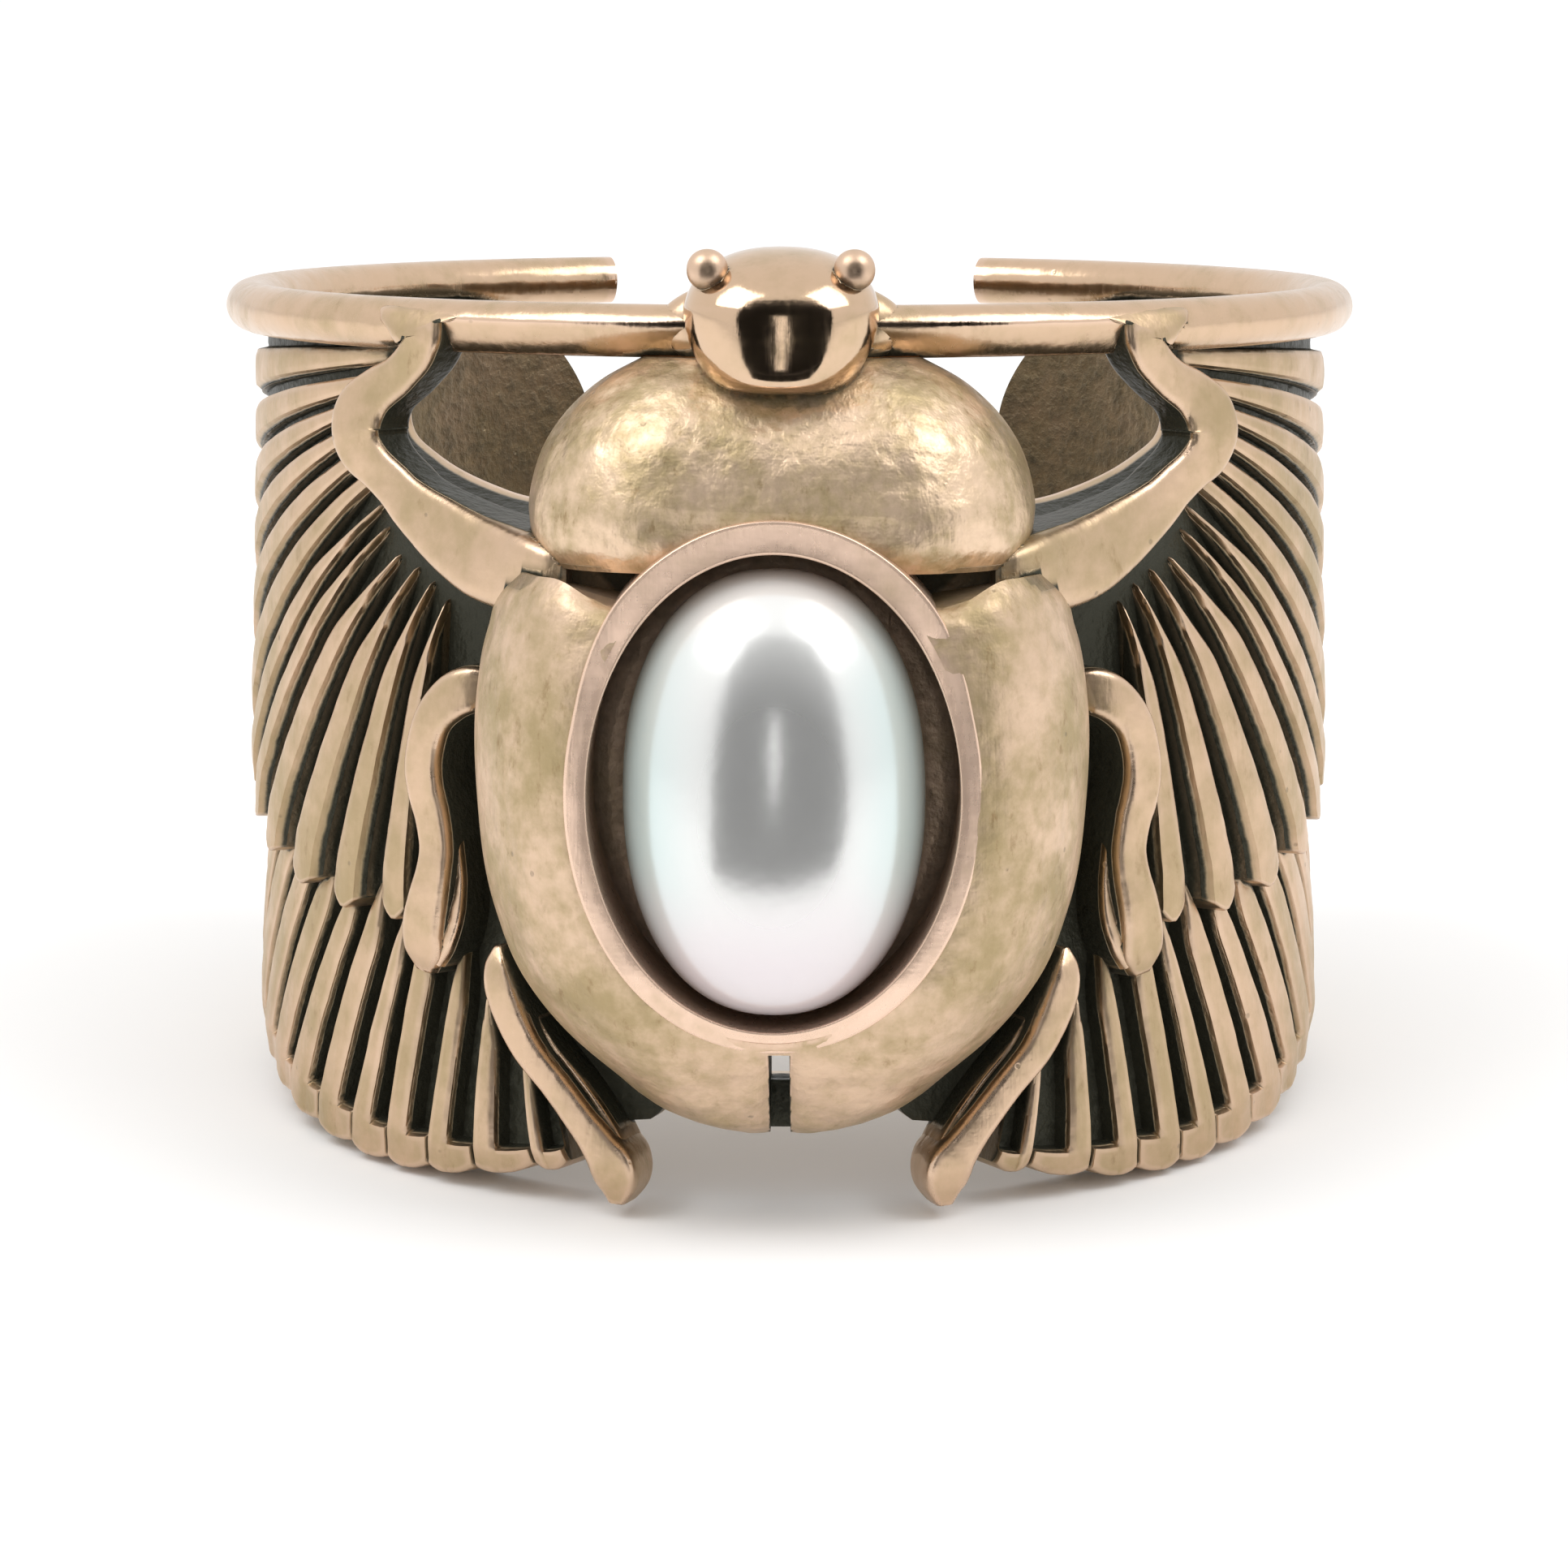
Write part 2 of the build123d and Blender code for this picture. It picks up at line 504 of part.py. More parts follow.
def peg(radius, length):
    """The post that carries the pearl, up from the floor of its well."""
    plane = Plane(origin=(WELL_X, -(WELL_FLOOR - 0.2), WELL_Z), x_dir=(1, 0, 0),
                  z_dir=(0, -1, 0))
    return extrude(plane * Circle(radius), length + 0.2)


def box_between(low, high):
    """A box between two corners."""
    size = [b - a for a, b in zip(low, high)]
    middle = [(a + b) / 2 for a, b in zip(low, high)]
    return Pos(*middle) * Box(*size)


def make_metal():
    """The whole casting as one solid."""
    right = wing()
    metal = scarab() + rail() + right + mirror(right, about=Plane.YZ)
    metal -= Cylinder(FINGER_R, 40.0)
    metal -= forward_ellipse(WELL_HALF_X, WELL_HALF_Z, WELL_FLOOR, 20.0)
    half = SLIT_WIDTH / 2
    metal -= box_between((-half, -16.0, -8.0), (half, -(FINGER_R + SLIT_FLOOR), SLIT_TOP))
    metal -= box_between((-half, -16.0, SLIT_THROUGH_Z), (half, -SHEET_BACK_R, SLIT_TOP))
    metal += peg(PEG_R, PEG_LENGTH)
    return metal


def make_pearl():
    """The pearl, with the blind hole that goes over the peg."""
    centre = WELL_FLOOR + PEARL_GAP + PEARL_HALF_Y
    shape = ball((WELL_X, centre, WELL_Z), (PEARL_HALF_X, PEARL_HALF_Y, PEARL_HALF_Z))
    return shape - peg(PEG_R + PEG_CLEARANCE, PEG_LENGTH + PEG_CLEARANCE)


def seat(shapes):
    """Sets the leaned ring down: its middle over the origin, its lowest edge on the floor."""
    boxes = [shape.bounding_box() for shape in shapes]
    front = min(box.min.Y for box in boxes)
    back = max(box.max.Y for box in boxes)
    floor = min(box.min.Z for box in boxes)
    return Pos(0, -(front + back) / 2, -floor)


if __name__ == "__main__":
    os.makedirs("parts", exist_ok=True)
    leaned = {"scarab_cuff": Rot(-LEAN_DEG, 0, 0) * make_metal(),
              "pearl": Rot(-LEAN_DEG, 0, 0) * make_pearl()}
    down = seat(leaned.values())
    print("moved to its seat by", [round(v, 4) for v in down.position])
    for name, shape in leaned.items():
        shape = down * shape
        solids = shape.solids()
        box = shape.bounding_box()
        print(name, len(solids), "solid", round(shape.volume, 2), "mm3", shape.is_valid)
        print("  from", [round(v, 3) for v in box.min], "to", [round(v, 3) for v in box.max])
        export_step(solids[0] if len(solids) == 1 else shape, f"parts/{name}.step")
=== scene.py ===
# %% [markdown]
# # A winged scarab cuff ring with a pearl
# The solids of this ring already exist, with their real sizes. This notebook dresses them:
# it models every casting detail as a fine mesh, and gives the metal and the pearl their
# finish. The solids are loaded first and never change. They are the frame for the rest.

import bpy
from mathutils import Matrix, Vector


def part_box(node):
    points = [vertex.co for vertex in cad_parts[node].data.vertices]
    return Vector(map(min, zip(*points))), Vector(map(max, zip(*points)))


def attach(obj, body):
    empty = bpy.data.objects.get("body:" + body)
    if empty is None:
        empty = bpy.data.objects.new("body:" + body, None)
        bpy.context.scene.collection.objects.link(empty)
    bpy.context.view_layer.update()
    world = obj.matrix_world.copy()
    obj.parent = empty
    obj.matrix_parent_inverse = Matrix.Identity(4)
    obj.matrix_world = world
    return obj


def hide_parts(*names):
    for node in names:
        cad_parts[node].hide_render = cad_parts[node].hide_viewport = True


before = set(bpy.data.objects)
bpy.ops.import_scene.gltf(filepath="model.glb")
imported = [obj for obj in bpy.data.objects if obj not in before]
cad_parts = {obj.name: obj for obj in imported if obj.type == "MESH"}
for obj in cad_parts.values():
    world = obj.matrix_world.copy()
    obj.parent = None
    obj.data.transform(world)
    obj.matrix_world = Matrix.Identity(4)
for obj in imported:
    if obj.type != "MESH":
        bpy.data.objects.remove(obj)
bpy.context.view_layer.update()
print("solids:", sorted(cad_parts))

# %% Tools used everywhere
import math

import bmesh
import bpy
import numpy as np
from mathutils import Matrix, Vector
from mathutils.bvhtree import BVHTree

MM = 0.001
BODY = "root"
METAL_NODE = "scarab_cuff"
PEARL_NODE = "pearl"
print("one millimetre is", MM, "of Blender's metres")

# %% [markdown]
# ## Where the ring stands
# It is easiest to think of a ring with its finger axis upright: a place is then an angle
# round the finger, a height and a radius. The real ring leans back a little, because it
# rests on its lower edge. So everything is drawn upright in millimetres, and one matrix
# leans it and sets it down. The pearl's solid tells where that place is.

# %% From the ring's own frame to the room
LEAN_DEG = 7.0
PEARL_CENTRE = Vector((-0.1, -11.9, 1.33))
pearl_low, pearl_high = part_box(PEARL_NODE)
lean = Matrix.Rotation(math.radians(-LEAN_DEG), 4, "X")
seat = (pearl_low + pearl_high) / 2 / MM - lean @ PEARL_CENTRE
RING_TO_ROOM = Matrix.Scale(MM, 4) @ Matrix.Translation(seat) @ lean
print("the finger hole's middle stands at", [round(v, 3) for v in seat], "mm")

# %% [markdown]
# ## Sizes
# These sizes follow the solids. Tables give feathers and legs as places on the ring, because
# their flow is what makes the piece look alive.

# %% Sizes of the wings
FINGER_R = 8.8
WALL_R = 9.55
UPPER_CREST_R = 10.36
LOWER_CREST_R = 10.24
GROOVE_DEPTH = 0.42
SHALLOW_DROP = 0.28
WING_END_DEG = 152.0

# angle and height where each groove starts and ends, its share of the full depth, how much
# of the feather is sunk, and how far, from 0 to 1, the ribs start in a point
UPPER_GROOVES = [
    (46.0, 8.95, 105.5, 8.6, 0.5, 0.30, 0.15),
    (47.0, 8.50, 104.5, 7.2, 0.5, 0.30, 0.15),
    (48.0, 8.10, 103.0, 5.9, 0.5, 0.30, 0.15),
    (48.5, 7.80, 101.0, 4.6, 0.6, 0.32, 0.15),
    (49.0, 7.45, 98.0, 3.35, 0.6, 0.34, 0.15),
    (49.5, 6.95, 94.0, 2.15, 0.7, 0.36, 0.15),
    (49.5, 6.45, 89.0, 0.85, 0.8, 0.38, 1.0),
    (49.0, 5.95, 83.0, 0.15, 0.9, 0.40, 1.0),
    (48.5, 5.50, 76.3, -0.3, 1.0, 0.42, 1.0),
    (46.5, 5.00, 68.0, -0.75, 1.0, 0.44, 1.0),
    (43.5, 4.85, 58.0, -1.1, 1.0, 0.46, 1.0),
    (41.2, 4.60, 49.4, -1.3, 1.0, 0.48, 1.0),
    (39.0, 4.30, 41.5, -1.3, 1.0, 0.50, 1.0),
]
LOWER_GROOVES = [
    (25.5, -3.6, 22.5, -5.72, 1.0, 0.62, 1.0),
    (28.6, -3.3, 26.2, -5.81, 1.0, 0.60, 1.0),
    (32.8, -2.4, 33.7, -5.99, 1.0, 0.56, 1.0),
    (35.4, -1.2, 40.0, -6.06, 1.0, 0.52, 1.0),
    (40.9, -1.0, 46.2, -6.05, 1.0, 0.48, 1.0),
    (43.0, -0.8, 52.4, -5.90, 1.0, 0.44, 1.0),
    (47.4, -0.5, 59.5, -5.69, 1.0, 0.40, 1.0),
    (50.8, -0.3, 67.5, -5.4, 0.9, 0.36, 1.0),
    (57.3, -0.2, 74.0, -5.05, 0.8, 0.34, 0.15),
    (64.5, -0.1, 81.0, -4.7, 0.7, 0.32, 0.15),
    (71.5, 0.1, 88.5, -4.4, 0.7, 0.32, 0.15),
]
BACK_FEATHERS = 14
BACK_STARTS = [(71.5, 0.1), (82.0, 0.8), (89.0, 2.2), (94.5, 4.0), (98.5, 6.5), (99.5, 8.95)]
BACK_ENDS = [(88.5, -4.4), (96.0, -4.42), (140.0, -4.5), (148.5, -3.7), (WING_END_DEG, -2.0),
             (WING_END_DEG, 6.7), (150.5, 7.5), (147.0, 8.0), (139.0, 8.95)]


def along(line, share):
    """The place this share of the way along a line of (angle, height) corners."""
    corners = np.array(line)
    steps = np.diff(corners, axis=0) * (math.radians(1) * UPPER_CREST_R, 1.0)
    reached = np.concatenate(([0.0], np.cumsum(np.hypot(*steps.T))))
    return [float(np.interp(share * reached[-1], reached, corners[:, i])) for i in (0, 1)]


back_grooves = []
for number in range(1, BACK_FEATHERS + 1):
    start = along(BACK_STARTS, number / BACK_FEATHERS)
    end = along(BACK_ENDS, number / BACK_FEATHERS)
    back_grooves.append((*start, *end, 0.7, 0.32, 0.15))
print(len(UPPER_GROOVES), "upper and", len(LOWER_GROOVES + back_grooves), "lower grooves a side")

# %% Sizes of the legs
# each row: angle, height, half width, radius of the top and of the underside
FRONT_LEG = [
    (37.4, 9.64, 0.88, 10.40, 10.2), (37.4, 9.55, 0.98, 10.66, 10.2),
    (37.4, 9.40, 0.94, 10.79, 10.1), (37.3, 9.22, 0.66, 10.88, 10.0),
    (37.0, 9.02, 0.44, 10.90, 9.9), (38.0, 8.70, 0.39, 10.84, 9.9),
    (40.5, 8.33, 0.39, 10.78, 9.9), (43.6, 8.02, 0.46, 10.78, 9.9),
    (45.5, 7.68, 0.59, 10.84, 9.9), (46.1, 7.32, 0.62, 10.88, 9.9),
    (45.3, 6.96, 0.54, 10.86, 9.9), (43.4, 6.66, 0.44, 10.82, 9.9),
    (41.0, 6.35, 0.45, 10.80, 9.9), (38.7, 6.03, 0.51, 10.82, 9.9),
    (34.5, 5.61, 0.64, 10.95, 9.8), (30.0, 5.25, 0.74, 11.20, 9.6),
    (26.5, 5.08, 0.77, 11.45, 9.3), (23.5, 5.00, 0.74, 11.72, 9.0),
    (20.6, 4.98, 0.60, 11.86, 9.0), (18.6, 4.98, 0.40, 11.80, 9.0),
]
MIDDLE_LEG = [
    (30.6, 2.80, 0.36, 10.46, 9.2), (32.4, 2.76, 0.44, 10.62, 9.2),
    (34.3, 2.60, 0.44, 10.70, 9.2), (36.3, 2.24, 0.40, 10.74, 9.2),
    (37.4, 1.78, 0.39, 10.74, 9.2), (37.9, 1.25, 0.40, 10.72, 9.2),
    (37.5, 0.77, 0.39, 10.70, 9.2), (36.9, 0.39, 0.37, 10.68, 9.2),
    (36.5, -0.14, 0.36, 10.66, 9.2), (36.8, -0.61, 0.38, 10.68, 9.2),
    (37.5, -1.11, 0.43, 10.70, 9.2), (38.2, -1.65, 0.46, 10.68, 9.2),
    (38.5, -2.12, 0.43, 10.58, 9.2), (38.9, -2.45, 0.22, 10.40, 9.2),
]
HIND_LEG = [
    (29.3, -1.84, 0.08, 10.45, 9.2), (29.2, -2.14, 0.24, 10.60, 9.2),
    (28.7, -2.53, 0.33, 10.66, 9.2), (27.7, -3.02, 0.34, 10.66, 9.2),
    (25.8, -3.66, 0.31, 10.64, 9.2), (22.7, -4.28, 0.29, 10.64, 9.2),
    (19.6, -4.96, 0.31, 10.66, 9.2), (18.0, -5.33, 0.35, 10.68, 9.2),
    (16.8, -5.66, 0.42, 10.66, 9.2), (16.4, -6.02, 0.37, 10.58, 9.3),
    (16.6, -6.38, 0.15, 10.40, 9.5),
]
# thin ledges that run along the body side of the middle and the hind leg
MIDDLE_LEDGE = [
    (36.4, 1.35, 0.03, 10.10, 9.3), (35.9, 0.95, 0.05, 10.22, 9.3),
    (35.3, 0.40, 0.06, 10.28, 9.3), (34.7, -0.20, 0.07, 10.32, 9.3),
    (34.4, -0.80, 0.10, 10.36, 9.3), (34.8, -1.40, 0.16, 10.42, 9.3),
    (35.9, -1.90, 0.20, 10.48, 9.3), (37.2, -2.25, 0.18, 10.46, 9.3),
]
HIND_LEDGE = [
    (25.6, -3.10, 0.03, 10.20, 9.3), (23.6, -3.58, 0.05, 10.30, 9.3),
    (20.8, -4.12, 0.06, 10.34, 9.3), (18.1, -4.72, 0.07, 10.36, 9.3),
    (16.0, -5.30, 0.07, 10.38, 9.3), (15.2, -5.65, 0.05, 10.34, 9.4),
]
RAIL_R = 0.47
RAIL_Z = 9.25
RAIL_RING_R = 10.24
RAIL_END_DEG = 156.2
print("a front leg has", len(FRONT_LEG), "rows; the rail is", 2 * RAIL_R, "mm thick")

# %% Sizes of the body
# level sections: height, half width, half width of the flat middle, and how far the middle
# and the side edges stand from the finger axis
ELYTRA = [
    (-5.00, 0.75, 0.5, 10.45, 9.90), (-4.88, 1.35, 0.8, 10.80, 9.80),
    (-4.68, 1.98, 1.0, 11.10, 9.70), (-4.38, 2.50, 1.3, 11.45, 9.60),
    (-4.00, 2.98, 1.5, 11.80, 9.45), (-3.30, 3.80, 1.9, 12.35, 9.40),
    (-2.30, 4.60, 2.3, 12.78, 9.45), (-1.00, 5.13, 2.6, 13.00, 9.50),
    (1.00, 5.43, 2.9, 13.10, 9.60), (2.80, 5.43, 2.9, 13.10, 9.60),
    (4.00, 5.20, 2.8, 12.98, 9.80), (4.60, 4.93, 2.7, 12.80, 10.00),
    (4.85, 4.60, 2.6, 12.60, 10.40),
]
THORAX = [
    (5.15, 3.95, 1.6, 12.35, 10.60), (5.50, 4.32, 1.7, 12.58, 10.20),
    (6.00, 4.47, 1.8, 12.65, 9.90), (6.70, 4.40, 1.8, 12.52, 9.80),
    (7.40, 4.12, 1.7, 12.25, 9.80), (8.00, 3.65, 1.5, 11.85, 9.85),
    (8.45, 3.10, 1.3, 11.40, 9.90), (8.80, 2.45, 1.0, 10.85, 9.95),
]
WELL_X = -0.1
WELL_Z = 1.33
WELL_HALF_X = 3.25
WELL_HALF_Z = 4.20
WELL_FLOOR = 9.6
COLLAR_WIDTH = 0.6
COLLAR_FRONT = 12.85
SLIT_WIDTH = 0.36
SLIT_TOP = -3.3
SLIT_BACK = 9.75
SLIT_THROUGH_Z = -4.15
print("the well is", 2 * WELL_HALF_X, "mm wide and", 2 * WELL_HALF_Z, "mm high")

# %% [markdown]
# ## From a grid of points to a piece
# Most pieces are a grid of points that runs round or along the form. One helper joins such
# a grid with quads, another turns points and faces into a finished object: doubles merged,
# faces turned outwards, leaned and set down in metres.

# %% Helpers that turn points into pieces
MERGE_MM = 2e-4         # points closer than this are one point
TINY_MM = 1e-5
UNROLL_R = 10.0         # feathers and bars are laid out flat at this radius
pieces = []


def quads(rows, columns, close_rows=False, close_columns=False):
    """Quads between neighbours of a grid of points that is stored row by row."""
    faces = []
    for i in range(rows if close_rows else rows - 1):
        for j in range(columns if close_columns else columns - 1):
            after = (i + 1) % rows
            beside = (j + 1) % columns
            faces.append((i * columns + j, i * columns + beside,
                          after * columns + beside, after * columns + j))
    return faces


def plug_faces(count):
    """The faces of a plug between two rings of this many points, with both its ends."""
    ends = [tuple(range(count)), tuple(range(2 * count - 1, count - 1, -1))]
    return quads(2, count, close_columns=True) + ends


def eased(share):
    """A share kept between 0 and 1, with a soft start and a soft end."""
    share = np.clip(share, 0, 1)
    return share * share * (3 - 2 * share)


def close_skin(work):
    """Closes open rims and turns all faces the same way."""
    rims = [edge for edge in work.edges if edge.is_boundary]
    if rims:
        bmesh.ops.holes_fill(work, edges=rims, sides=0)
    bmesh.ops.recalc_face_normals(work, faces=work.faces)


def finish_mesh(mesh, sharp_deg):
    """Merges doubles, closes open rims, turns faces outwards and moves it to the room."""
    work = bmesh.new()
    work.from_mesh(mesh)
    bmesh.ops.remove_doubles(work, verts=work.verts, dist=MERGE_MM)
    bmesh.ops.dissolve_degenerate(work, edges=work.edges, dist=TINY_MM)
    close_skin(work)
    if work.calc_volume(signed=True) < 0:
        bmesh.ops.reverse_faces(work, faces=work.faces)
    work.to_mesh(mesh)
    work.free()
    mesh.transform(RING_TO_ROOM)
    mesh.polygons.foreach_set("use_smooth", [True] * len(mesh.polygons))
    mesh.set_sharp_from_angle(angle=math.radians(sharp_deg))
    mesh.update()


def points_of(mesh):
    """All points of a mesh as an array."""
    flat = np.empty(3 * len(mesh.vertices), np.float32)
    mesh.vertices.foreach_get("co", flat)
    return flat.reshape(-1, 3).astype(float)


def mark(mesh, name, values):
    """Stores one number per point."""
    layer = mesh.attributes.get(name) or mesh.attributes.new(name, "FLOAT", "POINT")
    layer.data.foreach_set("value", np.asarray(values, np.float32))


def add_piece(name, mesh, sharp_deg=50.0, ground=None):
    """A finished piece that rides with the ring, with an optional share of patina and painted shade."""
    mesh.name = name
    if ground is not None:
        mark(mesh, "ground", ground(points_of(mesh)) * np.ones(len(mesh.vertices)))
    finish_mesh(mesh, sharp_deg)
    piece = bpy.data.objects.new(name, mesh)
    bpy.context.scene.collection.objects.link(piece)
    pieces.append(piece)
    print(f"{name}: {len(mesh.vertices)} points")
    return piece


def mesh_of(points, faces):
    """A plain mesh from points in the ring's own millimetres."""
    mesh = bpy.data.meshes.new("work")
    mesh.from_pydata(np.asarray(points, float).reshape(-1, 3).tolist(), [], faces)
    mesh.update()
    return mesh


def place(deg, z, radius):
    """Points at these angles, heights and radii."""
    turn = np.radians(deg)
    return np.stack((radius * np.sin(turn), -radius * np.cos(turn), z + 0 * turn), axis=-1)


print("a grid of 3 by 4 points has", len(quads(3, 4)), "quads")

# %% [markdown]
# ## Node trees, written like sums
# Geometry Nodes and shaders are both made of sockets and links. This small class adds a
# node, sets its values and returns the socket that carries the answer, so a tree reads
# like a formula.

# %% A helper for node trees


class Graph:
    """A node tree that is written like sums."""

    def __init__(self, tree):
        self.tree = tree

    def feed(self, socket, value):
        """Links a socket, or sets a plain value."""
        if isinstance(value, bpy.types.NodeSocket):
            self.tree.links.new(value, socket)
        else:
            socket.default_value = value

    def node(self, kind, inputs=None, **settings):
        """Adds a node, with its settings and the values of its inputs."""
        node = self.tree.nodes.new(kind)
        for key, value in settings.items():
            setattr(node, key, value)
        for key, value in (inputs or {}).items():
            self.feed(node.inputs[key], value)
        return node

    def math(self, operation, *values):
        """One step of arithmetic."""
        node = self.node("ShaderNodeMath", operation=operation)
        for socket, value in zip(node.inputs, values):
            self.feed(socket, value)
        return node.outputs[0]

    def total(self, *values):
        """The sum of all values."""
        answer = values[0]
        for value in values[1:]:
            answer = self.math("ADD", answer, value)
        return answer

    def product(self, *values):
        """All values multiplied."""
        answer = values[0]
        for value in values[1:]:
            answer = self.math("MULTIPLY", answer, value)
        return answer

    def minus(self, first, second):
        """The first value less the second."""
        return self.math("SUBTRACT", first, second)

    def ratio(self, first, second):
        """The first value divided by the second."""
        return self.math("DIVIDE", first, second)

    def between(self, share, first, second):
        """The value this share of the way from the first to the second."""
        return self.math("MULTIPLY_ADD", share, self.minus(second, first), first)

    def step(self, value, low, high, first=0.0, last=1.0, kind="SMOOTHSTEP"):
        """A soft step from first to last while the value goes from low to high."""
        node = self.node("ShaderNodeMapRange", interpolation_type=kind)
        for key, item in zip(("Value", "From Min", "From Max", "To Min", "To Max"),
                             (value, low, high, first, last)):
            self.feed(node.inputs[key], item)
        return node.outputs["Result"]

    def ramp(self, value, low, high):
        """A straight ramp from 0 to 1 while the value goes from low to high."""
        return self.step(value, low, high, kind="LINEAR")

    def curve(self, value, points):
        """A curve from 0 to 1 through given points."""
        node = self.node("ShaderNodeFloatCurve", {"Value": value})
        line = node.mapping.curves[0]
        while len(line.points) < len(points):
            line.points.new(0.5, 0.5)
        for point, (x, y) in zip(line.points, points):
            point.location = (x, y)
        node.mapping.update()
        return node.outputs[0]

    def parts(self, place):
        """The x, y and z of a place."""
        return self.node("ShaderNodeSeparateXYZ", {0: place}).outputs

    def scaled(self, place, scale):
        """A place times a number."""
        node = self.node("ShaderNodeVectorMath", {0: place, "Scale": scale}, operation="SCALE")
        return node.outputs[0]

    def noise(self, place, scale, detail=3.0, roughness=0.55, stretch=None, seed=0.0):
        """A noise value between 0 and 1 at this scale per millimetre."""
        if stretch:
            place = self.node("ShaderNodeMapping", {"Vector": place, "Scale": stretch}).outputs[0]
        node = self.node("ShaderNodeTexNoise", {"Vector": place, "W": seed, "Scale": scale,
                                                "Detail": detail, "Roughness": roughness},
                         noise_dimensions="4D")
        return node.outputs[0]


SOCKET_OF = {int: "Int", float: "Float"}


def new_tree(name, kind, inputs, outputs):
    """A node group; an input has its default number, or the kind of its socket as a word."""
    tree = bpy.data.node_groups.new(name, kind)
    for title, default in inputs.items():
        word = SOCKET_OF.get(type(default), default)
        item = tree.interface.new_socket(title, in_out="INPUT", socket_type=f"NodeSocket{word}")
        if word != default:
            item.default_value = default
    for title, word in outputs.items():
        tree.interface.new_socket(title, in_out="OUTPUT", socket_type=f"NodeSocket{word}")
    graph = Graph(tree)
    start = graph.node("NodeGroupInput")
    end = graph.node("NodeGroupOutput")
    return graph, start.outputs, end.inputs


def run_tree(tree, values):
    """Runs a geometry tree on an empty mesh and returns the result as a plain mesh."""
    holder = bpy.data.objects.new("holder", bpy.data.meshes.new("holder"))
    bpy.context.scene.collection.objects.link(holder)
    modifier = holder.modifiers.new("shape", "NODES")
    modifier.node_group = tree
    for item in tree.interface.items_tree:
        if item.in_out == "INPUT" and item.name in values:
            modifier[item.identifier] = values[item.name]
    view = bpy.context.evaluated_depsgraph_get()
    mesh = bpy.data.meshes.new_from_object(holder.evaluated_get(view), depsgraph=view)
    holder.modifiers.remove(modifier)
    bpy.data.objects.remove(holder)
    return mesh


def guide(name, rows, columns):
    """A hidden line of points laid flat: x along the ring, z up, more values as attributes."""
    table = np.array(rows, float)
    points = np.zeros((len(table), 3))
    points[:, 0] = np.radians(table[:, 0]) * UNROLL_R
    points[:, 2] = table[:, 1]
    mesh = bpy.data.meshes.new(name)
    mesh.from_pydata(points.tolist(), [(i, i + 1) for i in range(len(table) - 1)], [])
    for number, column in enumerate(columns):
        attribute = mesh.attributes.new(column, "FLOAT", "POINT")
        attribute.data.foreach_set("value", table[:, 2 + number].astype(np.float32))
    line = bpy.data.objects.new(name, mesh)
    bpy.context.scene.collection.objects.link(line)
    return line


def roll_up(graph, flat, radius, side):
    """Wraps a flat place (x along the ring, z up) round the finger at this radius."""
    parts = graph.parts(flat)
    turn = graph.product(graph.ratio(parts[0], UNROLL_R), side)
    x = graph.product(radius, graph.math("SINE", turn))
    y = graph.product(radius, graph.math("COSINE", turn), -1.0)
    return graph.node("ShaderNodeCombineXYZ", {0: x, 1: y, 2: parts[2]}).outputs[0]


def close_tree(graph, given, result, grid, ground, position):
    """Stores the dark patina and painted shade, moves and merges the grid's points, and sets the
    material.
    """
    steps = (("StoreNamedAttribute", {"Name": "ground", "Value": ground}),
             ("SetPosition", {"Position": position}), ("MergeByDistance", {"Distance": 1e-4}),
             ("RealizeInstances", {}), ("SetMaterial", {"Material": given["Metal"]}))
    shape = grid.outputs["Mesh"]
    for kind, inputs in steps:
        node = graph.node("GeometryNode" + kind, {"Geometry": shape, **inputs})
        shape = node.outputs["Geometry"]
    graph.feed(result[0], shape)
    return graph.tree


print("the grids are unrolled at", UNROLL_R, "mm")


# %% [markdown]
# ## The feathers
# On the ring the feathers are cast relief: a fan of ribs with sunken channels between them,
# ending in rounded tips. They repeat along a rule, so a Geometry Nodes tree makes them. It
# lays a grid between two guide lines, one through the roots of the grooves and one through
# the tips. Across each feather comes a channel with steep walls and then a low round rib.
# Along it the channel fades in at the root and stops short of the tip. At last the sheet is
# rolled round the finger. The grid also runs back along the inside, so the sheet is closed.

# %% The feather tree
ACROSS = 20
GUIDE_COLUMNS = ("depth", "sunk", "pointed")
WALL_SHARE = 0.055      # a groove's wall takes this share of a feather's width
# where the first wall, the floor and the second wall end in a feather's columns
FIRST_END, FLOOR_END, SECOND_END = 0.25, 0.40, 0.65
ROW_PACKING = 1.5       # above 1 the rows stand closer towards the tip
POINT_SUNK = 0.97       # a rib that starts in a point is sunk by this much there
SEAM_DEPTH = 0.55       # beyond the channel's end two feathers meet in a shallower seam
POINT_RUN = (0.02, 0.34, 0.80, 0.0)     # the point opens between these shares of the length
CHANNEL_FADE = 0.06     # a channel fades in over this share of a feather's length
CHANNEL_STOP = 0.02     # and stops over this one
SEAM_HALF_WIDTH = 0.06
LOBE_FROM, TIP_FROM = 0.82, 0.88
CROWN_DROP = 0.05       # a rib's flanks lie this much below its crest
UNEVEN = 0.06           # the casting's slow waves
FLOOR_ROUGH = 0.10      # the cast ground between the ribs is rougher
ROOT_FALL = [(0, 1), (0.05, 0.6), (0.2, 0.3), (0.5, 0.1), (1, 0)]


def sampled(graph, geometry, data_type, value, index):
    """Reads one value of a guide line at a point's index."""
    node = graph.node("GeometryNodeSampleIndex", data_type=data_type, clamp=True)
    graph.feed(node.inputs["Geometry"], geometry)
    graph.feed(node.inputs["Value"], value)
    graph.feed(node.inputs["Index"], index)
    return node.outputs[0]


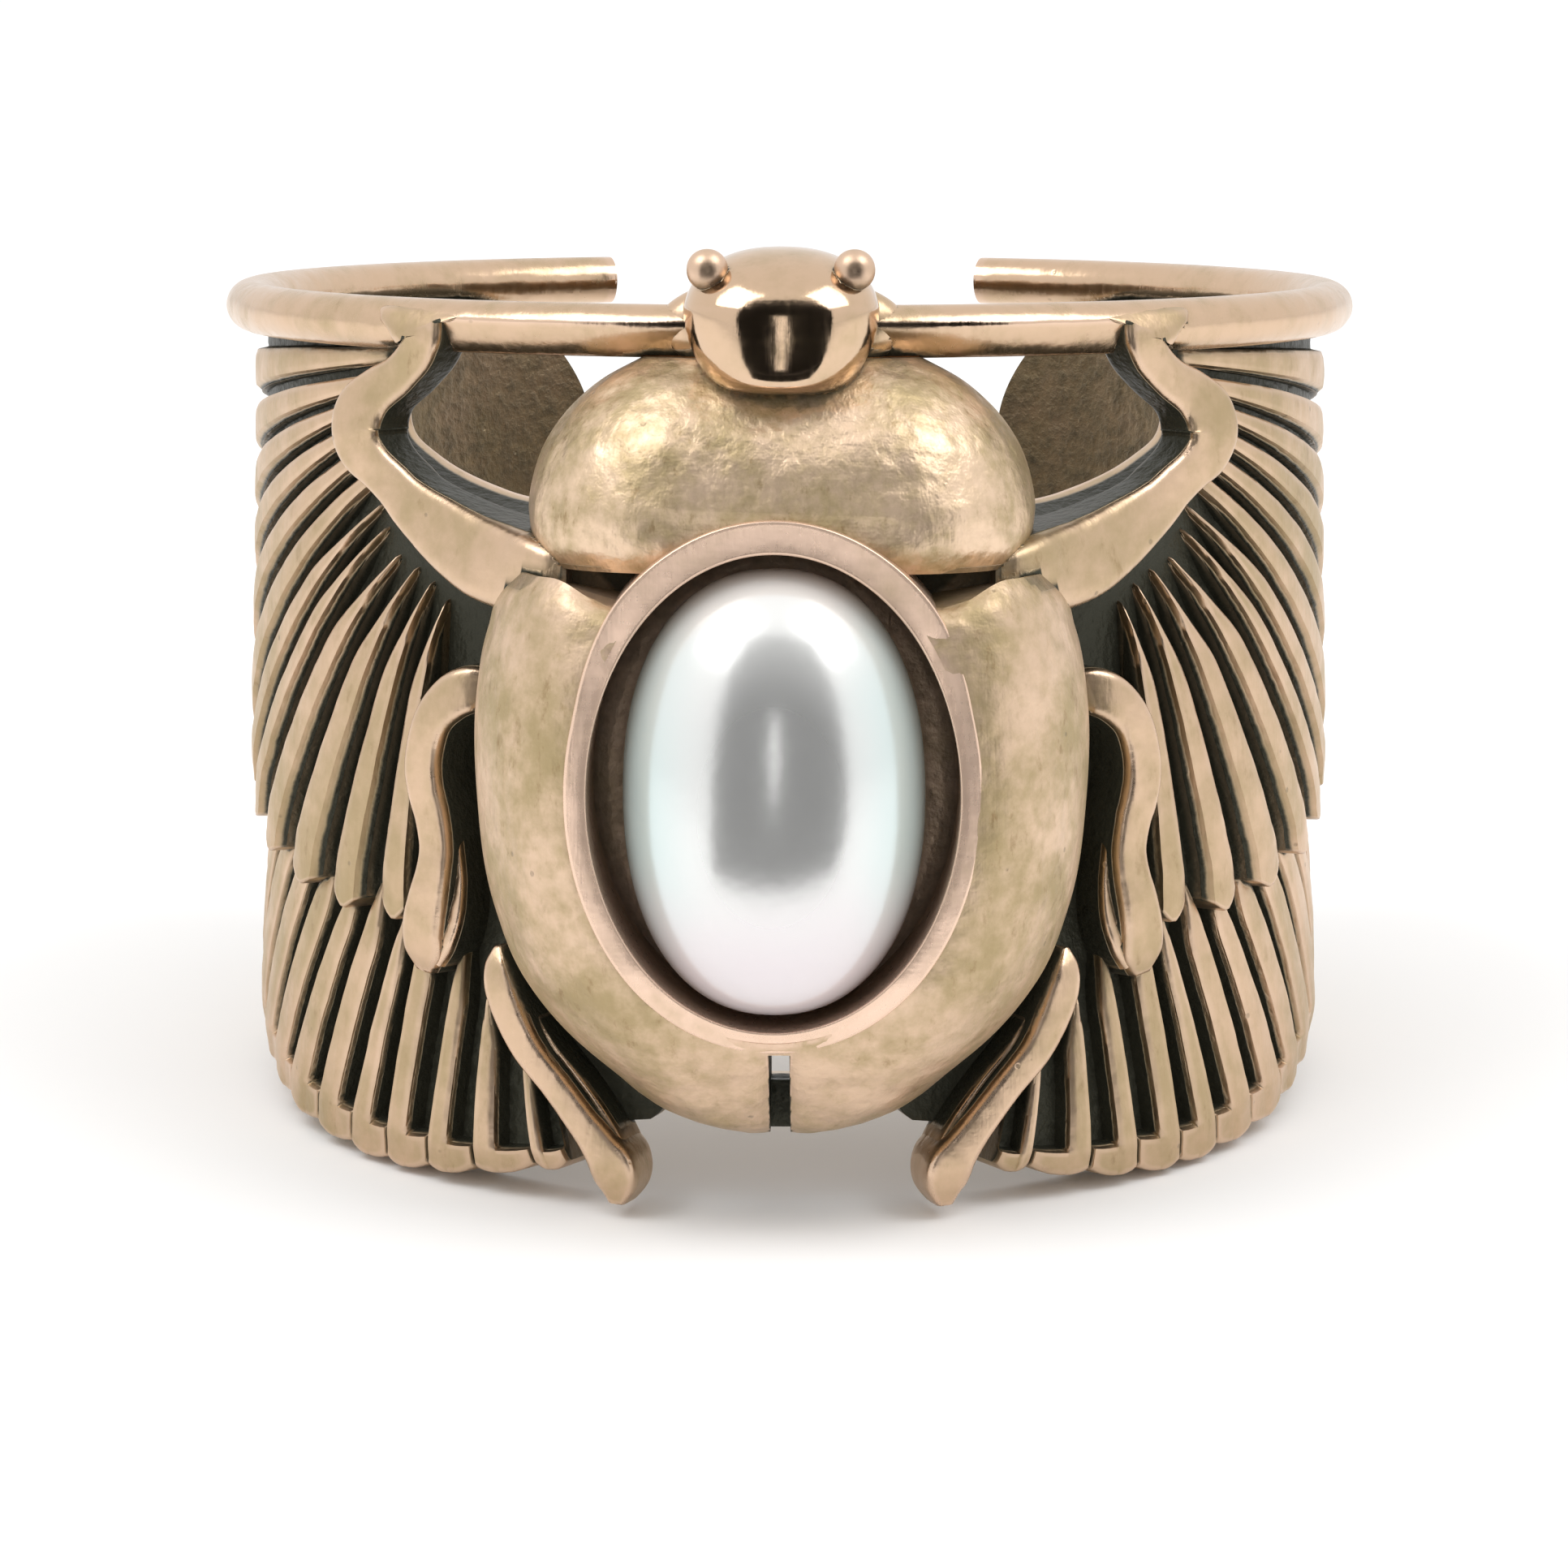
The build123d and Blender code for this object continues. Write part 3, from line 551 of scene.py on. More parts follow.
def vector_mix(graph, share, first, second):
    """The place this share of the way from one place to another."""
    node = graph.node("ShaderNodeMix", data_type="VECTOR", clamp_factor=False)
    for socket, value in ((node.inputs["Factor"], share), (node.inputs[4], first),
                          (node.inputs[5], second)):
        graph.feed(socket, value)
    return node.outputs[1]


def feather_tree():
    """The tree that makes one wing's tier of feathers."""
    sizes = {"Feathers": 10, "Rows": 60, "Back Rows": 6, "Side": 1.0, "Crest Radius": 10.0,
             "Back Radius": 9.0, "Groove Depth": 0.4, "Shallow Drop": 0.3, "Root Drop": 0.4,
             "Tip Drop": 0.1, "Lobe": 0.2, "Lobe Power": 2.0, "Lobe On Rib": 0.0,
             "Inside Painted Shade": 0.0, "Channel End": 0.9, "Edge Radius": 0.1, "Seed": 0.0,
             "Root Line": "Object", "Tip Line": "Object", "Metal": "Material"}
    graph, given, result = new_tree("Feather sheet", "GeometryNodeTree", sizes,
                                    {"Sheet": "Geometry"})
    columns = graph.math("MULTIPLY_ADD", given["Feathers"], float(ACROSS), 1.0)
    all_rows = graph.total(given["Rows"], given["Back Rows"], 1.0)
    grid = graph.node("GeometryNodeMeshGrid", {"Size X": given["Feathers"], "Size Y": 1.0,
                                               "Vertices X": columns, "Vertices Y": all_rows})
    where = graph.node("GeometryNodeInputPosition").outputs[0]
    spot = graph.parts(where)
    across = graph.total(spot[0], graph.product(given["Feathers"], 0.5))
    number = graph.math("FLOOR", graph.total(across, 1e-4))
    following = graph.total(number, 1.0)
    step = graph.math("MAXIMUM", graph.minus(across, number), 0.0)
    on_first = graph.ramp(step, 0.0, FIRST_END)
    on_floor = graph.ramp(step, FIRST_END, FLOOR_END)
    on_second = graph.ramp(step, FLOOR_END, SECOND_END)
    on_rib = graph.ramp(step, SECOND_END, 1.0)

    # the rows run from root to tip, back along the inside, and one last row closes the sheet
    last_row = graph.minus(all_rows, 1.0)
    row = graph.math("ROUND", graph.product(graph.total(spot[1], 0.5), last_row))
    back_end = graph.minus(last_row, 0.5)
    is_last = graph.math("GREATER_THAN", row, back_end)
    is_back = graph.product(graph.math("GREATER_THAN", row, graph.minus(given["Rows"], 0.5)),
                            graph.math("LESS_THAN", row, back_end))
    forth = graph.ratio(row, graph.minus(given["Rows"], 1.0))
    forth = graph.product(forth, graph.minus(1.0, is_last))
    back = graph.ratio(graph.minus(graph.minus(last_row, 1.0), row),
                       graph.minus(given["Back Rows"], 1.0))
    left = graph.minus(1.0, graph.between(is_back, forth, back))
    share = graph.minus(1.0, graph.math("POWER", left, ROW_PACKING))

    # what the two guide lines say of this feather
    lines = []
    for title in ("Root Line", "Tip Line"):
        info = graph.node("GeometryNodeObjectInfo", {"Object": given[title]})
        lines.append(info.outputs["Geometry"])
    shares = []
    for title in GUIDE_COLUMNS:
        named = graph.node("GeometryNodeInputNamedAttribute", {"Name": title}, data_type="FLOAT")
        shares.append([sampled(graph, lines[0], "FLOAT", named.outputs[0], index)
                       for index in (number, following)])
    sunk, pointed = shares[1][0], shares[2][0]
    widen = graph.product(pointed, graph.step(share, *POINT_RUN))
    sunk = graph.math("MULTIPLY_ADD", widen, graph.minus(POINT_SUNK, sunk), sunk)
    part = graph.total(graph.product(on_first, WALL_SHARE),
                       graph.product(on_floor, graph.minus(sunk, 2 * WALL_SHARE)),
                       graph.product(on_second, WALL_SHARE),
                       graph.product(on_rib, graph.minus(1.0, sunk)))
    depth = graph.between(part, *shares[0])

    # the flat place, with a lobe at the tip
    ends = []
    for line in lines:
        near, far = (sampled(graph, line, "FLOAT_VECTOR", where, index)
                     for index in (number, following))
        ends.append(vector_mix(graph, part, near, far))
    span = graph.node("ShaderNodeVectorMath", {0: ends[0], 1: ends[1]}, operation="DISTANCE")
    run = span.outputs["Value"]
    lobe_place = graph.between(given["Lobe On Rib"], part, graph.ramp(part, sunk, 1.0))
    off_centre = graph.math("ABSOLUTE", graph.math("MULTIPLY_ADD", lobe_place, 2.0, -1.0))
    bulge = graph.minus(1.0, graph.math("POWER", off_centre, given["Lobe Power"]))
    lobe = graph.product(graph.ratio(given["Lobe"], run), bulge, graph.step(share, LOBE_FROM, 1.0))
    flat = vector_mix(graph, graph.total(share, lobe), *ends)

    # how deep the channel or the seam is cut here
    channel = graph.product(graph.step(on_first, 0.0, 1.0),
                            graph.step(on_second, 0.0, 1.0, 1.0, 0.0))
    channel_stop = graph.step(share, graph.minus(given["Channel End"], CHANNEL_STOP),
                              given["Channel End"], 1.0, 0.0)
    fade_in = graph.step(share, 0.0, CHANNEL_FADE)
    channel = graph.product(channel, graph.product(fade_in, channel_stop))
    seam = graph.math("MINIMUM", part, graph.minus(1.0, part))
    seam = graph.product(graph.step(seam, 0.0, SEAM_HALF_WIDTH, 1.0, 0.0),
                         graph.step(share, 0.0, 0.2, 0.3, 0.8))
    cut = graph.math("MAXIMUM", channel, graph.product(seam, SEAM_DEPTH))

    # everything that takes the surface down from the crest
    off_middle = graph.math("ABSOLUTE", graph.math("MULTIPLY_ADD", on_rib, 2.0, -1.0))
    crown = graph.product(graph.math("POWER", off_middle, 4.0), CROWN_DROP)
    root_drop = graph.product(given["Root Drop"], graph.curve(share, ROOT_FALL))
    tip_drop = graph.product(given["Tip Drop"], graph.step(share, TIP_FROM, 1.0))
    to_edge = graph.product(graph.minus(1.0, share), run)
    in_edge = graph.math("MINIMUM", graph.ratio(to_edge, given["Edge Radius"]), 1.0)
    rolled = graph.math("POWER", graph.minus(1.0, in_edge), 2.0)
    arc = graph.minus(1.0, graph.math("SQRT", graph.minus(1.0, rolled)))
    grain = graph.noise(flat, 1.3, 3.0, 0.5, seed=given["Seed"])
    rough = graph.noise(flat, 7.0, 2.0, 0.5, seed=given["Seed"])
    fall = graph.total(root_drop, tip_drop, graph.product(arc, given["Edge Radius"]), crown,
                       graph.product(graph.minus(grain, 0.5), UNEVEN),
                       graph.product(graph.minus(rough, 0.5), FLOOR_ROUGH, cut),
                       graph.product(given["Groove Depth"], depth, cut),
                       graph.product(given["Shallow Drop"], graph.minus(1.0, depth)))
    front = graph.minus(given["Crest Radius"], fall)
    radius = graph.between(is_back, front, given["Back Radius"])
    dirt = graph.product(graph.step(cut, 0.08, 0.50), graph.step(depth, 0.4, 1.0, 0.75, 1.0))
    # the channels get dark patina, the inside rows get painted shade
    ground = graph.between(is_back, dirt, given["Inside Painted Shade"])
    return close_tree(graph, given, result, grid, ground,
                      roll_up(graph, flat, radius, given["Side"]))


feathers = feather_tree()
print("feather tree:", len(feathers.nodes), "nodes")

# %% Make both tiers on both sides
SIDES = (("right", 1.0), ("left", -1.0))
BOTH_TIERS = {"Rows": 72, "Groove Depth": GROOVE_DEPTH, "Shallow Drop": SHALLOW_DROP}
UPPER_TIER = {"Crest Radius": UPPER_CREST_R, "Back Radius": 9.2, "Root Drop": 0.98,
              "Tip Drop": 0.06, "Lobe": 0.34, "Lobe Power": 1.2, "Lobe On Rib": 1.0,
              "Channel End": 1.20, "Edge Radius": 0.06}
# the inside rows of the lower tier get painted shade
LOWER_TIER = {"Crest Radius": LOWER_CREST_R, "Back Radius": FINGER_R, "Root Drop": 0.85,
              "Inside Painted Shade": 0.50, "Tip Drop": 0.10, "Lobe": 0.16, "Lobe Power": 2.0,
              "Channel End": 0.89, "Edge Radius": 0.12}
FEATHER_SHARP_DEG = 42.0


def tier(name, grooves, side, seed, sizes):
    """One tier of feathers on one side."""
    lines = []
    for title, columns in (("roots", slice(0, 2)), ("tips", slice(2, 4))):
        rows = [(*row[columns], *row[4:]) for row in grooves]
        lines.append(guide(f"{name}_{title}", rows, GUIDE_COLUMNS))
    values = {"Feathers": len(grooves) - 1, "Side": side, "Seed": seed,
              "Root Line": lines[0], "Tip Line": lines[1]}
    mesh = run_tree(feathers, {**values, **BOTH_TIERS, **sizes})
    for line in lines:
        bpy.data.objects.remove(line)
    return add_piece(name, mesh, FEATHER_SHARP_DEG)


for title, side in SIDES:
    tier(f"upper_feathers_{title}", UPPER_GROOVES, side, 3.0 + side, UPPER_TIER)
    tier(f"lower_feathers_{title}", LOWER_GROOVES + back_grooves, side, 8.0 + side, LOWER_TIER)

# %% [markdown]
# ## Legs and rail
# Legs and rail are bars that follow a path over the ring. One tree makes them all: it turns
# a guide line into a smooth spline, walks along it, and sets a rounded outline across it at
# every step. The roundness is an input of each row of the table, because the rail changes
# from round wire to a bar with a ridge between the head and the legs.

# %% The bar tree
BAR_COLUMNS = ("half", "top", "under", "roundness", "ridge")
# a height so low that the flanks' painted shade never ends
NO_SHADE_END = -99.0
RAIL_FROM_Z = (9.05, 9.35)      # between these heights a leg's foot turns into the rail
BAR_SHARP_DEG = 60.0


def bar_tree():
    """The tree that makes a bar along a path on the ring."""
    sizes = {"Steps": 60, "Around": 32, "Side": 1.0, "Seed": 0.0, "Painted Flank Shade": 0.0,
             "Shade Ends Below": NO_SHADE_END, "Path": "Object", "Metal": "Material"}
    graph, given, result = new_tree("Bar on the ring", "GeometryNodeTree", sizes,
                                    {"Bar": "Geometry"})
    line = graph.node("GeometryNodeObjectInfo", {"Object": given["Path"]}).outputs["Geometry"]
    curve = graph.node("GeometryNodeMeshToCurve", {"Mesh": line}).outputs["Curve"]
    smooth = graph.node("GeometryNodeCurveSplineType", {"Curve": curve}, spline_type="CATMULL_ROM")
    steps = graph.node("GeometryNodeCurveToPoints", {"Curve": smooth.outputs["Curve"],
                                                     "Count": given["Steps"]}, mode="COUNT")
    points = steps.outputs["Points"]
    around = graph.total(given["Around"], 1.0)
    grid = graph.node("GeometryNodeMeshGrid", {"Size X": 1.0, "Size Y": 1.0, "Vertices Y": around,
                                               "Vertices X": graph.total(given["Steps"], 2.0)})
    where = graph.node("GeometryNodeInputPosition").outputs[0]
    spot = graph.parts(where)

    # the first and the last row of the grid shrink to a point and close the bar's ends
    all_steps = graph.total(given["Steps"], 1.0)
    row = graph.math("ROUND", graph.product(graph.total(spot[0], 0.5), all_steps))
    index = graph.math("MINIMUM", graph.minus(row, 1.0), graph.minus(given["Steps"], 1.0))
    index = graph.math("MAXIMUM", index, 0.0)
    ends = graph.product(graph.math("GREATER_THAN", row, 0.5),
                         graph.math("LESS_THAN", row, graph.total(given["Steps"], 0.5)))
    middle = sampled(graph, points, "FLOAT_VECTOR", where, index)
    course = graph.parts(sampled(graph, points, "FLOAT_VECTOR", steps.outputs["Tangent"], index))
    shape = []
    for title in BAR_COLUMNS:
        named = graph.node("GeometryNodeInputNamedAttribute", {"Name": title}, data_type="FLOAT")
        shape.append(sampled(graph, points, "FLOAT", named.outputs[0], index))
    half, top, under, roundness, ridge = shape

    # the outline: a round or squarer oval
    column = graph.math("ROUND", graph.product(graph.total(spot[1], 0.5), given["Around"]))
    turned = graph.ratio(graph.math("MODULO", column, given["Around"]), given["Around"])
    angle = graph.product(turned, 2 * math.pi)
    power = graph.ratio(2.0, roundness)
    outline = []
    for function in ("COSINE", "SINE"):
        value = graph.math(function, angle)
        size = graph.math("POWER", graph.math("ABSOLUTE", value), power)
        outline.append(graph.product(size, graph.math("SIGN", value), ends))
    over = graph.math("MAXIMUM", outline[1], 0.0)
    shift = graph.product(graph.math("MULTIPLY_ADD", over, ridge, outline[0]), half)
    aside = graph.node("ShaderNodeCombineXYZ", {0: graph.product(course[2], shift, -1.0),
                                                2: graph.product(course[0], shift)})
    flat = graph.node("ShaderNodeVectorMath", {0: middle, 1: aside.outputs[0]},
                      operation="ADD").outputs[0]
    rise = graph.product(graph.minus(top, under), 0.5)
    radius = graph.math("MULTIPLY_ADD", outline[1], rise, graph.total(under, rise))
    grain = graph.noise(flat, 1.0, 2.0, 0.5, seed=given["Seed"])
    radius = graph.total(radius, graph.product(graph.minus(grain, 0.5), UNEVEN))

    # painted shade on the flanks, but not on the rail and not below a given height
    flank = graph.product(graph.step(outline[1], 0.62, 0.86, 1.0, 0.0), given["Painted Flank Shade"])
    height = graph.parts(middle)[2]
    rubbed = graph.step(graph.minus(height, given["Shade Ends Below"]), -0.3, 0.3)
    ground = graph.product(flank, rubbed, graph.step(height, *RAIL_FROM_Z, 1.0, 0.0))
    return close_tree(graph, given, result, grid, ground,
                      roll_up(graph, flat, radius, given["Side"]))


bars = bar_tree()
print("bar tree:", len(bars.nodes), "nodes")


def bar(name, rows, side, steps, around, seed, painted_flank_shade=0.0, shade_ends_below=NO_SHADE_END):
    """One bar that follows its table."""
    path = guide(name + "_path", rows, BAR_COLUMNS)
    mesh = run_tree(bars, {"Steps": steps, "Around": around, "Side": side, "Seed": seed,
                           "Painted Flank Shade": painted_flank_shade, "Shade Ends Below": shade_ends_below, "Path": path})
    bpy.data.objects.remove(path)
    return add_piece(name, mesh, BAR_SHARP_DEG)


# %% The legs
SQUARE_BAR = 5.5        # 2 is a round outline, more is squarer
LEG_AROUND = 56
# painted shade on the legs' flanks
LEG_FLANK_SHADE = 0.9
LEG_SHADE_ENDS_BELOW = -5.1         # below this height the legs' flanks get no painted shade
LEGS = (("front_leg", FRONT_LEG, 200), ("middle_leg", MIDDLE_LEG, 130),
        ("hind_leg", HIND_LEG, 110), ("middle_ledge", MIDDLE_LEDGE, 70),
        ("hind_ledge", HIND_LEDGE, 70))
for title, side in SIDES:
    for leg, table, steps in LEGS:
        rows = [(*row, SQUARE_BAR, 0.0) for row in table]
        bar(f"{leg}_{title}", rows, side, steps, LEG_AROUND, side + len(leg), LEG_FLANK_SHADE,
            LEG_SHADE_ENDS_BELOW)

# %% The rail
ROUND_DEGS = (-RAIL_END_DEG, -130, -100, -70, -48, -42)
RIDGED_DEGS = (-36.0, -28, -20, -12, 0.0)
ROUND_WIRE = 2.0
RIDGED = 1.45
RIDGE_SHIFT = 0.30      # the ridge lies this share of the half width off the middle
RIDGE_HIGHER = 0.05
RAIL_STEPS, RAIL_AROUND, RAIL_SEED = 640, 40, 2.0
CAP_STEPS = 8
CAP_TIP = 0.05
CAP_BLUNT = 0.8         # below 1 the free end is blunter than half a ball


def rail_row(deg, size, higher=0.0, roundness=ROUND_WIRE, ridge=0.0):
    """One row of the rail's table, from its angle and its radius there."""
    return (deg, RAIL_Z, size, RAIL_RING_R + size + higher, RAIL_RING_R - size, roundness, ridge)


cap_deg = math.degrees(RAIL_R / RAIL_RING_R)
rail_rows = []
for number in range(CAP_STEPS):
    turn = math.radians(90 * number / CAP_STEPS)
    size = RAIL_R * max(math.sin(turn), CAP_TIP) ** CAP_BLUNT
    rail_rows.append(rail_row(-RAIL_END_DEG - cap_deg * math.cos(turn), size))
rail_rows += [rail_row(deg, RAIL_R) for deg in ROUND_DEGS]
rail_rows += [rail_row(deg, RAIL_R, RIDGE_HIGHER, RIDGED, RIDGE_SHIFT) for deg in RIDGED_DEGS]
rail_rows += [(-row[0], *row[1:]) for row in reversed(rail_rows[:-1])]
bar("rail", rail_rows, 1.0, RAIL_STEPS, RAIL_AROUND, RAIL_SEED)

# %% [markdown]
# ## Thorax and wing cases
# Both are smooth domes. Each is a stack of level outlines: a nearly flat middle, round
# shoulders and sides that run in to the wall of the ring. The table's rows are joined by
# smooth curves, so the polish has no kinks. The pearl's well and the slit are then cut with
# the Boolean modifier, as a bur would cut them.

# %% Domes from level outlines
BACK_R = 9.2
BACK_SHARE = 0.84       # the back spans this share of a level's width
BACK_STEPS = 11
MIDDLE_SAG = 0.02       # the flat middle falls by this share of its half width
MIDDLE_PACKING = 1.6


def smooth_columns(rows, heights):
    """Every column of a table as a smooth curve over the height."""
    table = np.array(rows, float)
    known = table[:, 0]
    spot = np.clip(np.searchsorted(known, heights) - 1, 0, len(known) - 2)
    gap = known[spot + 1] - known[spot]
    part = (heights - known[spot]) / gap
    answers = []
    for column in table[:, 1:].T:
        slope = np.gradient(column, known)
        first, second = column[spot], column[spot + 1]
        lift = eased(part)
        answers.append(first + (second - first) * lift
                       + gap * slope[spot] * part * (1 - part) ** 2
                       - gap * slope[spot + 1] * part * part * (1 - part))
    return answers


def dome(rows, levels, flat_steps, round_steps, shape=None):
    """A closed dome: points of each level outline, from side to side and along the back."""
    heights = np.linspace(rows[0][0], rows[-1][0], levels)
    half, flat, front, side = smooth_columns(rows, heights)
    points = []
    turns = np.radians(np.linspace(90, 0, round_steps, endpoint=False))
    middle = np.linspace(-1, 1, flat_steps)
    middle = np.sign(middle) * np.abs(middle) ** MIDDLE_PACKING
    for i, z in enumerate(heights):
        edge = front[i] - MIDDLE_SAG * flat[i]
        left_x = -flat[i] - (half[i] - flat[i]) * np.sin(turns)
        left_y = side[i] + (edge - side[i]) * np.cos(turns)
        flat_y = front[i] - MIDDLE_SAG * flat[i] * middle ** 2
        back_x = np.linspace(BACK_SHARE, -BACK_SHARE, BACK_STEPS) * half[i]
        back_y = np.sqrt(BACK_R ** 2 - np.minimum(back_x ** 2, BACK_R ** 2 - 1))
        x = np.concatenate((left_x, middle * flat[i], -left_x[::-1], back_x))
        y = np.concatenate((left_y, flat_y, left_y[::-1], back_y))
        points.append(np.stack((x, -y, np.full(len(x), z)), axis=-1))
    points = np.array(points)
    if shape:
        points = shape(points)
    return mesh_of(points, quads(*points.shape[:2], close_columns=True))


def oval(turn, half_x, half_z, forward):
    """Points on an oval round the middle of the well."""
    return np.stack((WELL_X + half_x * np.cos(turn), -forward * np.ones(len(turn)),
                     WELL_Z + half_z * np.sin(turn)), -1)


def oval_bar(half_x, half_z, near, far, steps=160):
    """An oval bar that points forward, for cutting."""
    turn = np.linspace(0, 2 * math.pi, steps, endpoint=False)
    return mesh_of([oval(turn, half_x, half_z, y) for y in (near, far)], plug_faces(steps))


def block(low, high):
    """A box between two corners, for cutting."""
    x_both, y_both, z_both = zip(low, high)
    points = [(x, y, z) for x in x_both for y in y_both for z in z_both]
    faces = [(0, 1, 3, 2), (4, 6, 7, 5), (0, 4, 5, 1), (2, 3, 7, 6), (0, 2, 6, 4), (1, 5, 7, 3)]
    return mesh_of(points, faces)


def cut(mesh, cutters):
    """The mesh with all cutters taken away; the cutters can be used again."""
    holders = []
    for item in [mesh] + [cutter.copy() for cutter in cutters]:
        work = bmesh.new()
        work.from_mesh(item)
        bmesh.ops.remove_doubles(work, verts=work.verts, dist=TINY_MM)
        close_skin(work)
        work.to_mesh(item)
        work.free()
        holder = bpy.data.objects.new("cut", item)
        bpy.context.scene.collection.objects.link(holder)
        holders.append(holder)
    for number, tool in enumerate(holders[1:]):
        modifier = holders[0].modifiers.new(f"cut {number}", "BOOLEAN")
        modifier.operation = "DIFFERENCE"
        modifier.solver = "EXACT"
        modifier.object = tool
    view = bpy.context.evaluated_depsgraph_get()
    answer = bpy.data.meshes.new_from_object(holders[0].evaluated_get(view), depsgraph=view)
    for holder in holders:
        bpy.data.objects.remove(holder)
    return answer


TOP_EDGE_Z = 3.6        # above this the wing cases fall towards the lip
TOP_EDGE_RUN = 1.25
TOP_EDGE_FALL = 0.26
SHOULDER_RISE = 0.46
SLIT_SHOULDER = (0.32, 0.16)    # width and depth of the round shoulder beside the slit


def shape_wing_cases(points):
    """Lets the top edge fall towards the lip, and rounds the shoulders of the slit."""
    x = np.abs(points[..., 0])
    high = np.clip((points[..., 2] - TOP_EDGE_Z) / TOP_EDGE_RUN, 0, 1)
    outwards = eased((x - 2.9) / 1.1)
    points[..., 2] += high * high * (SHOULDER_RISE * outwards - TOP_EDGE_FALL)
    near_slit = np.clip((-points[..., 2] + SLIT_TOP + 0.1) / 0.4, 0, 1)
    shoulder = np.clip(1 - (x - SLIT_WIDTH / 2) / SLIT_SHOULDER[0], 0, 1) ** 2
    points[..., 1] += near_slit * shoulder * SLIT_SHOULDER[1]
    return points


# %% Cut the well and the slit
HIDDEN = 0.2            # the cut reaches this far under the lip
FAR_FRONT = 20.0        # in front of everything
# painted shade darkens the seam, the slit and the low sides of the body
SEAM_Z = 5.0            # the dark seam between thorax and wing cases
SEAM_HALF = 0.26
SEAM_REACH_R = 12.4     # further forward the light reaches into the seam
SEAM_DARK = 0.6
LOW_SIDE_R = 10.25      # the body's sides get dark below this radius, over this run
LOW_SIDE_RUN = 0.35
BODY_SHARP_DEG = 40.0
WAIST_SHARP_DEG = 30.0
CUT_FRONT, CUT_BACK, CUT_LOW = -16.0, -7.0, -8.0
WAIST = ((-3.7, -10.9, 4.3), (3.7, -9.3, 5.6))      # the metal that shows deep in the seam
well_cutter = oval_bar(WELL_HALF_X + HIDDEN, WELL_HALF_Z + HIDDEN, WELL_FLOOR - 0.1, FAR_FRONT)
slit = SLIT_WIDTH / 2
slit_cutter = block((-slit, CUT_FRONT, CUT_LOW), (slit, -SLIT_BACK, SLIT_TOP))
through_cutter = block((-slit, CUT_FRONT, SLIT_THROUGH_Z), (slit, CUT_BACK, SLIT_TOP))


def body_painted_shade(points):
    """Painted shade on the deep edges of the body: the seam, the slit and the low sides."""
    x, y, z = np.abs(points[:, 0]), -points[:, 1], points[:, 2]
    in_slit = (x < SLIT_WIDTH / 2 + 0.01) & (z < SLIT_TOP)
    low = np.clip((LOW_SIDE_R - np.hypot(x, y)) / LOW_SIDE_RUN, 0, 1)
    in_seam = (np.abs(z - SEAM_Z) < SEAM_HALF) & (np.hypot(x, y) < SEAM_REACH_R)
    return np.maximum(np.maximum(in_slit * 1.0, low), in_seam * SEAM_DARK)


wing_cases = dome(ELYTRA, 100, 71, 26, shape_wing_cases)
wing_cases = cut(wing_cases, [well_cutter, slit_cutter, through_cutter])
add_piece("wing_cases", wing_cases, BODY_SHARP_DEG, body_painted_shade)
thorax = cut(dome(THORAX, 80, 45, 26), [well_cutter])
add_piece("thorax", thorax, BODY_SHARP_DEG, body_painted_shade)
# the waist is painted wholly in shade
add_piece("waist", cut(block(*WAIST), [well_cutter]), WAIST_SHARP_DEG, lambda points: 1.0)

# %% [markdown]
# ## The pearl's well
# The pearl sits in an oval well with a polished lip. The lip is a narrow flat band that
# stands proud of the thorax at the top and runs nearly flush into the wing cases below.
# It is one profile swept round the oval: down the outside, over the band, round the inner
# edge, down the wall and across the floor.

# %% The well and its lip
SIDE_LIP = 0.40         # the lip is narrower where it runs nearly flush into the wing cases
LIP_PROUD = 0.04        # it stands this far above the wing cases
COLLAR_FROM_Z, COLLAR_RUN = 3.2, 1.4    # from here up it leaves them and becomes the collar
COLLAR_RISE = 0.02
LIP_EDGE = (0.12, 0.06)         # width and depth of its round inner edge
CORNER_RISE = {1.0: 0.12, 0.97: 0.03}   # the floor curves up to the wall at these shares
# painted shade in the well: where it deepens, over what run, and how much on the wall and in the corner
WELL_DARK_FROM, WELL_DARK_RUN = 12.6, 2.4
WALL_DARK, CORNER_DARK = 0.14, 0.5


def well_profile():
    """Profile rows: share of the lip's width, and height from the lip's top."""
    rows = [(1.0, -1.2), (1.0, -0.06), (0.985, -0.02), (0.95, -0.004), (0.85, 0.0), (0.5, 0.0)]
    wide, deep = LIP_EDGE
    for deg in (90, 68, 45, 22):
        turn = math.radians(deg)
        rows.append((wide - wide * math.cos(turn), -deep + deep * math.sin(turn)))
    return rows + [(0.0, -drop) for drop in (0.12, 0.4, 0.8, 1.4, 2.0, 2.5)]


def lip_height(turn, outwards=0.0):
    """How far the lip stands forward, by the place round the oval and the step outwards."""
    z = WELL_Z + (WELL_HALF_Z + outwards) * np.sin(turn)
    x = np.abs((WELL_HALF_X + outwards) * np.cos(turn))
    half, flat, front, side = smooth_columns(ELYTRA, np.clip(z, ELYTRA[0][0], ELYTRA[-1][0]))
    over = np.clip((x - flat) / (half - flat), 0, 1)
    here = side + (front - MIDDLE_SAG * flat - side) * np.sqrt(1 - over ** 2) + LIP_PROUD
    share = eased((z - COLLAR_FROM_Z) / COLLAR_RUN)
    return here * (1 - share) + (COLLAR_FRONT + COLLAR_RISE) * share


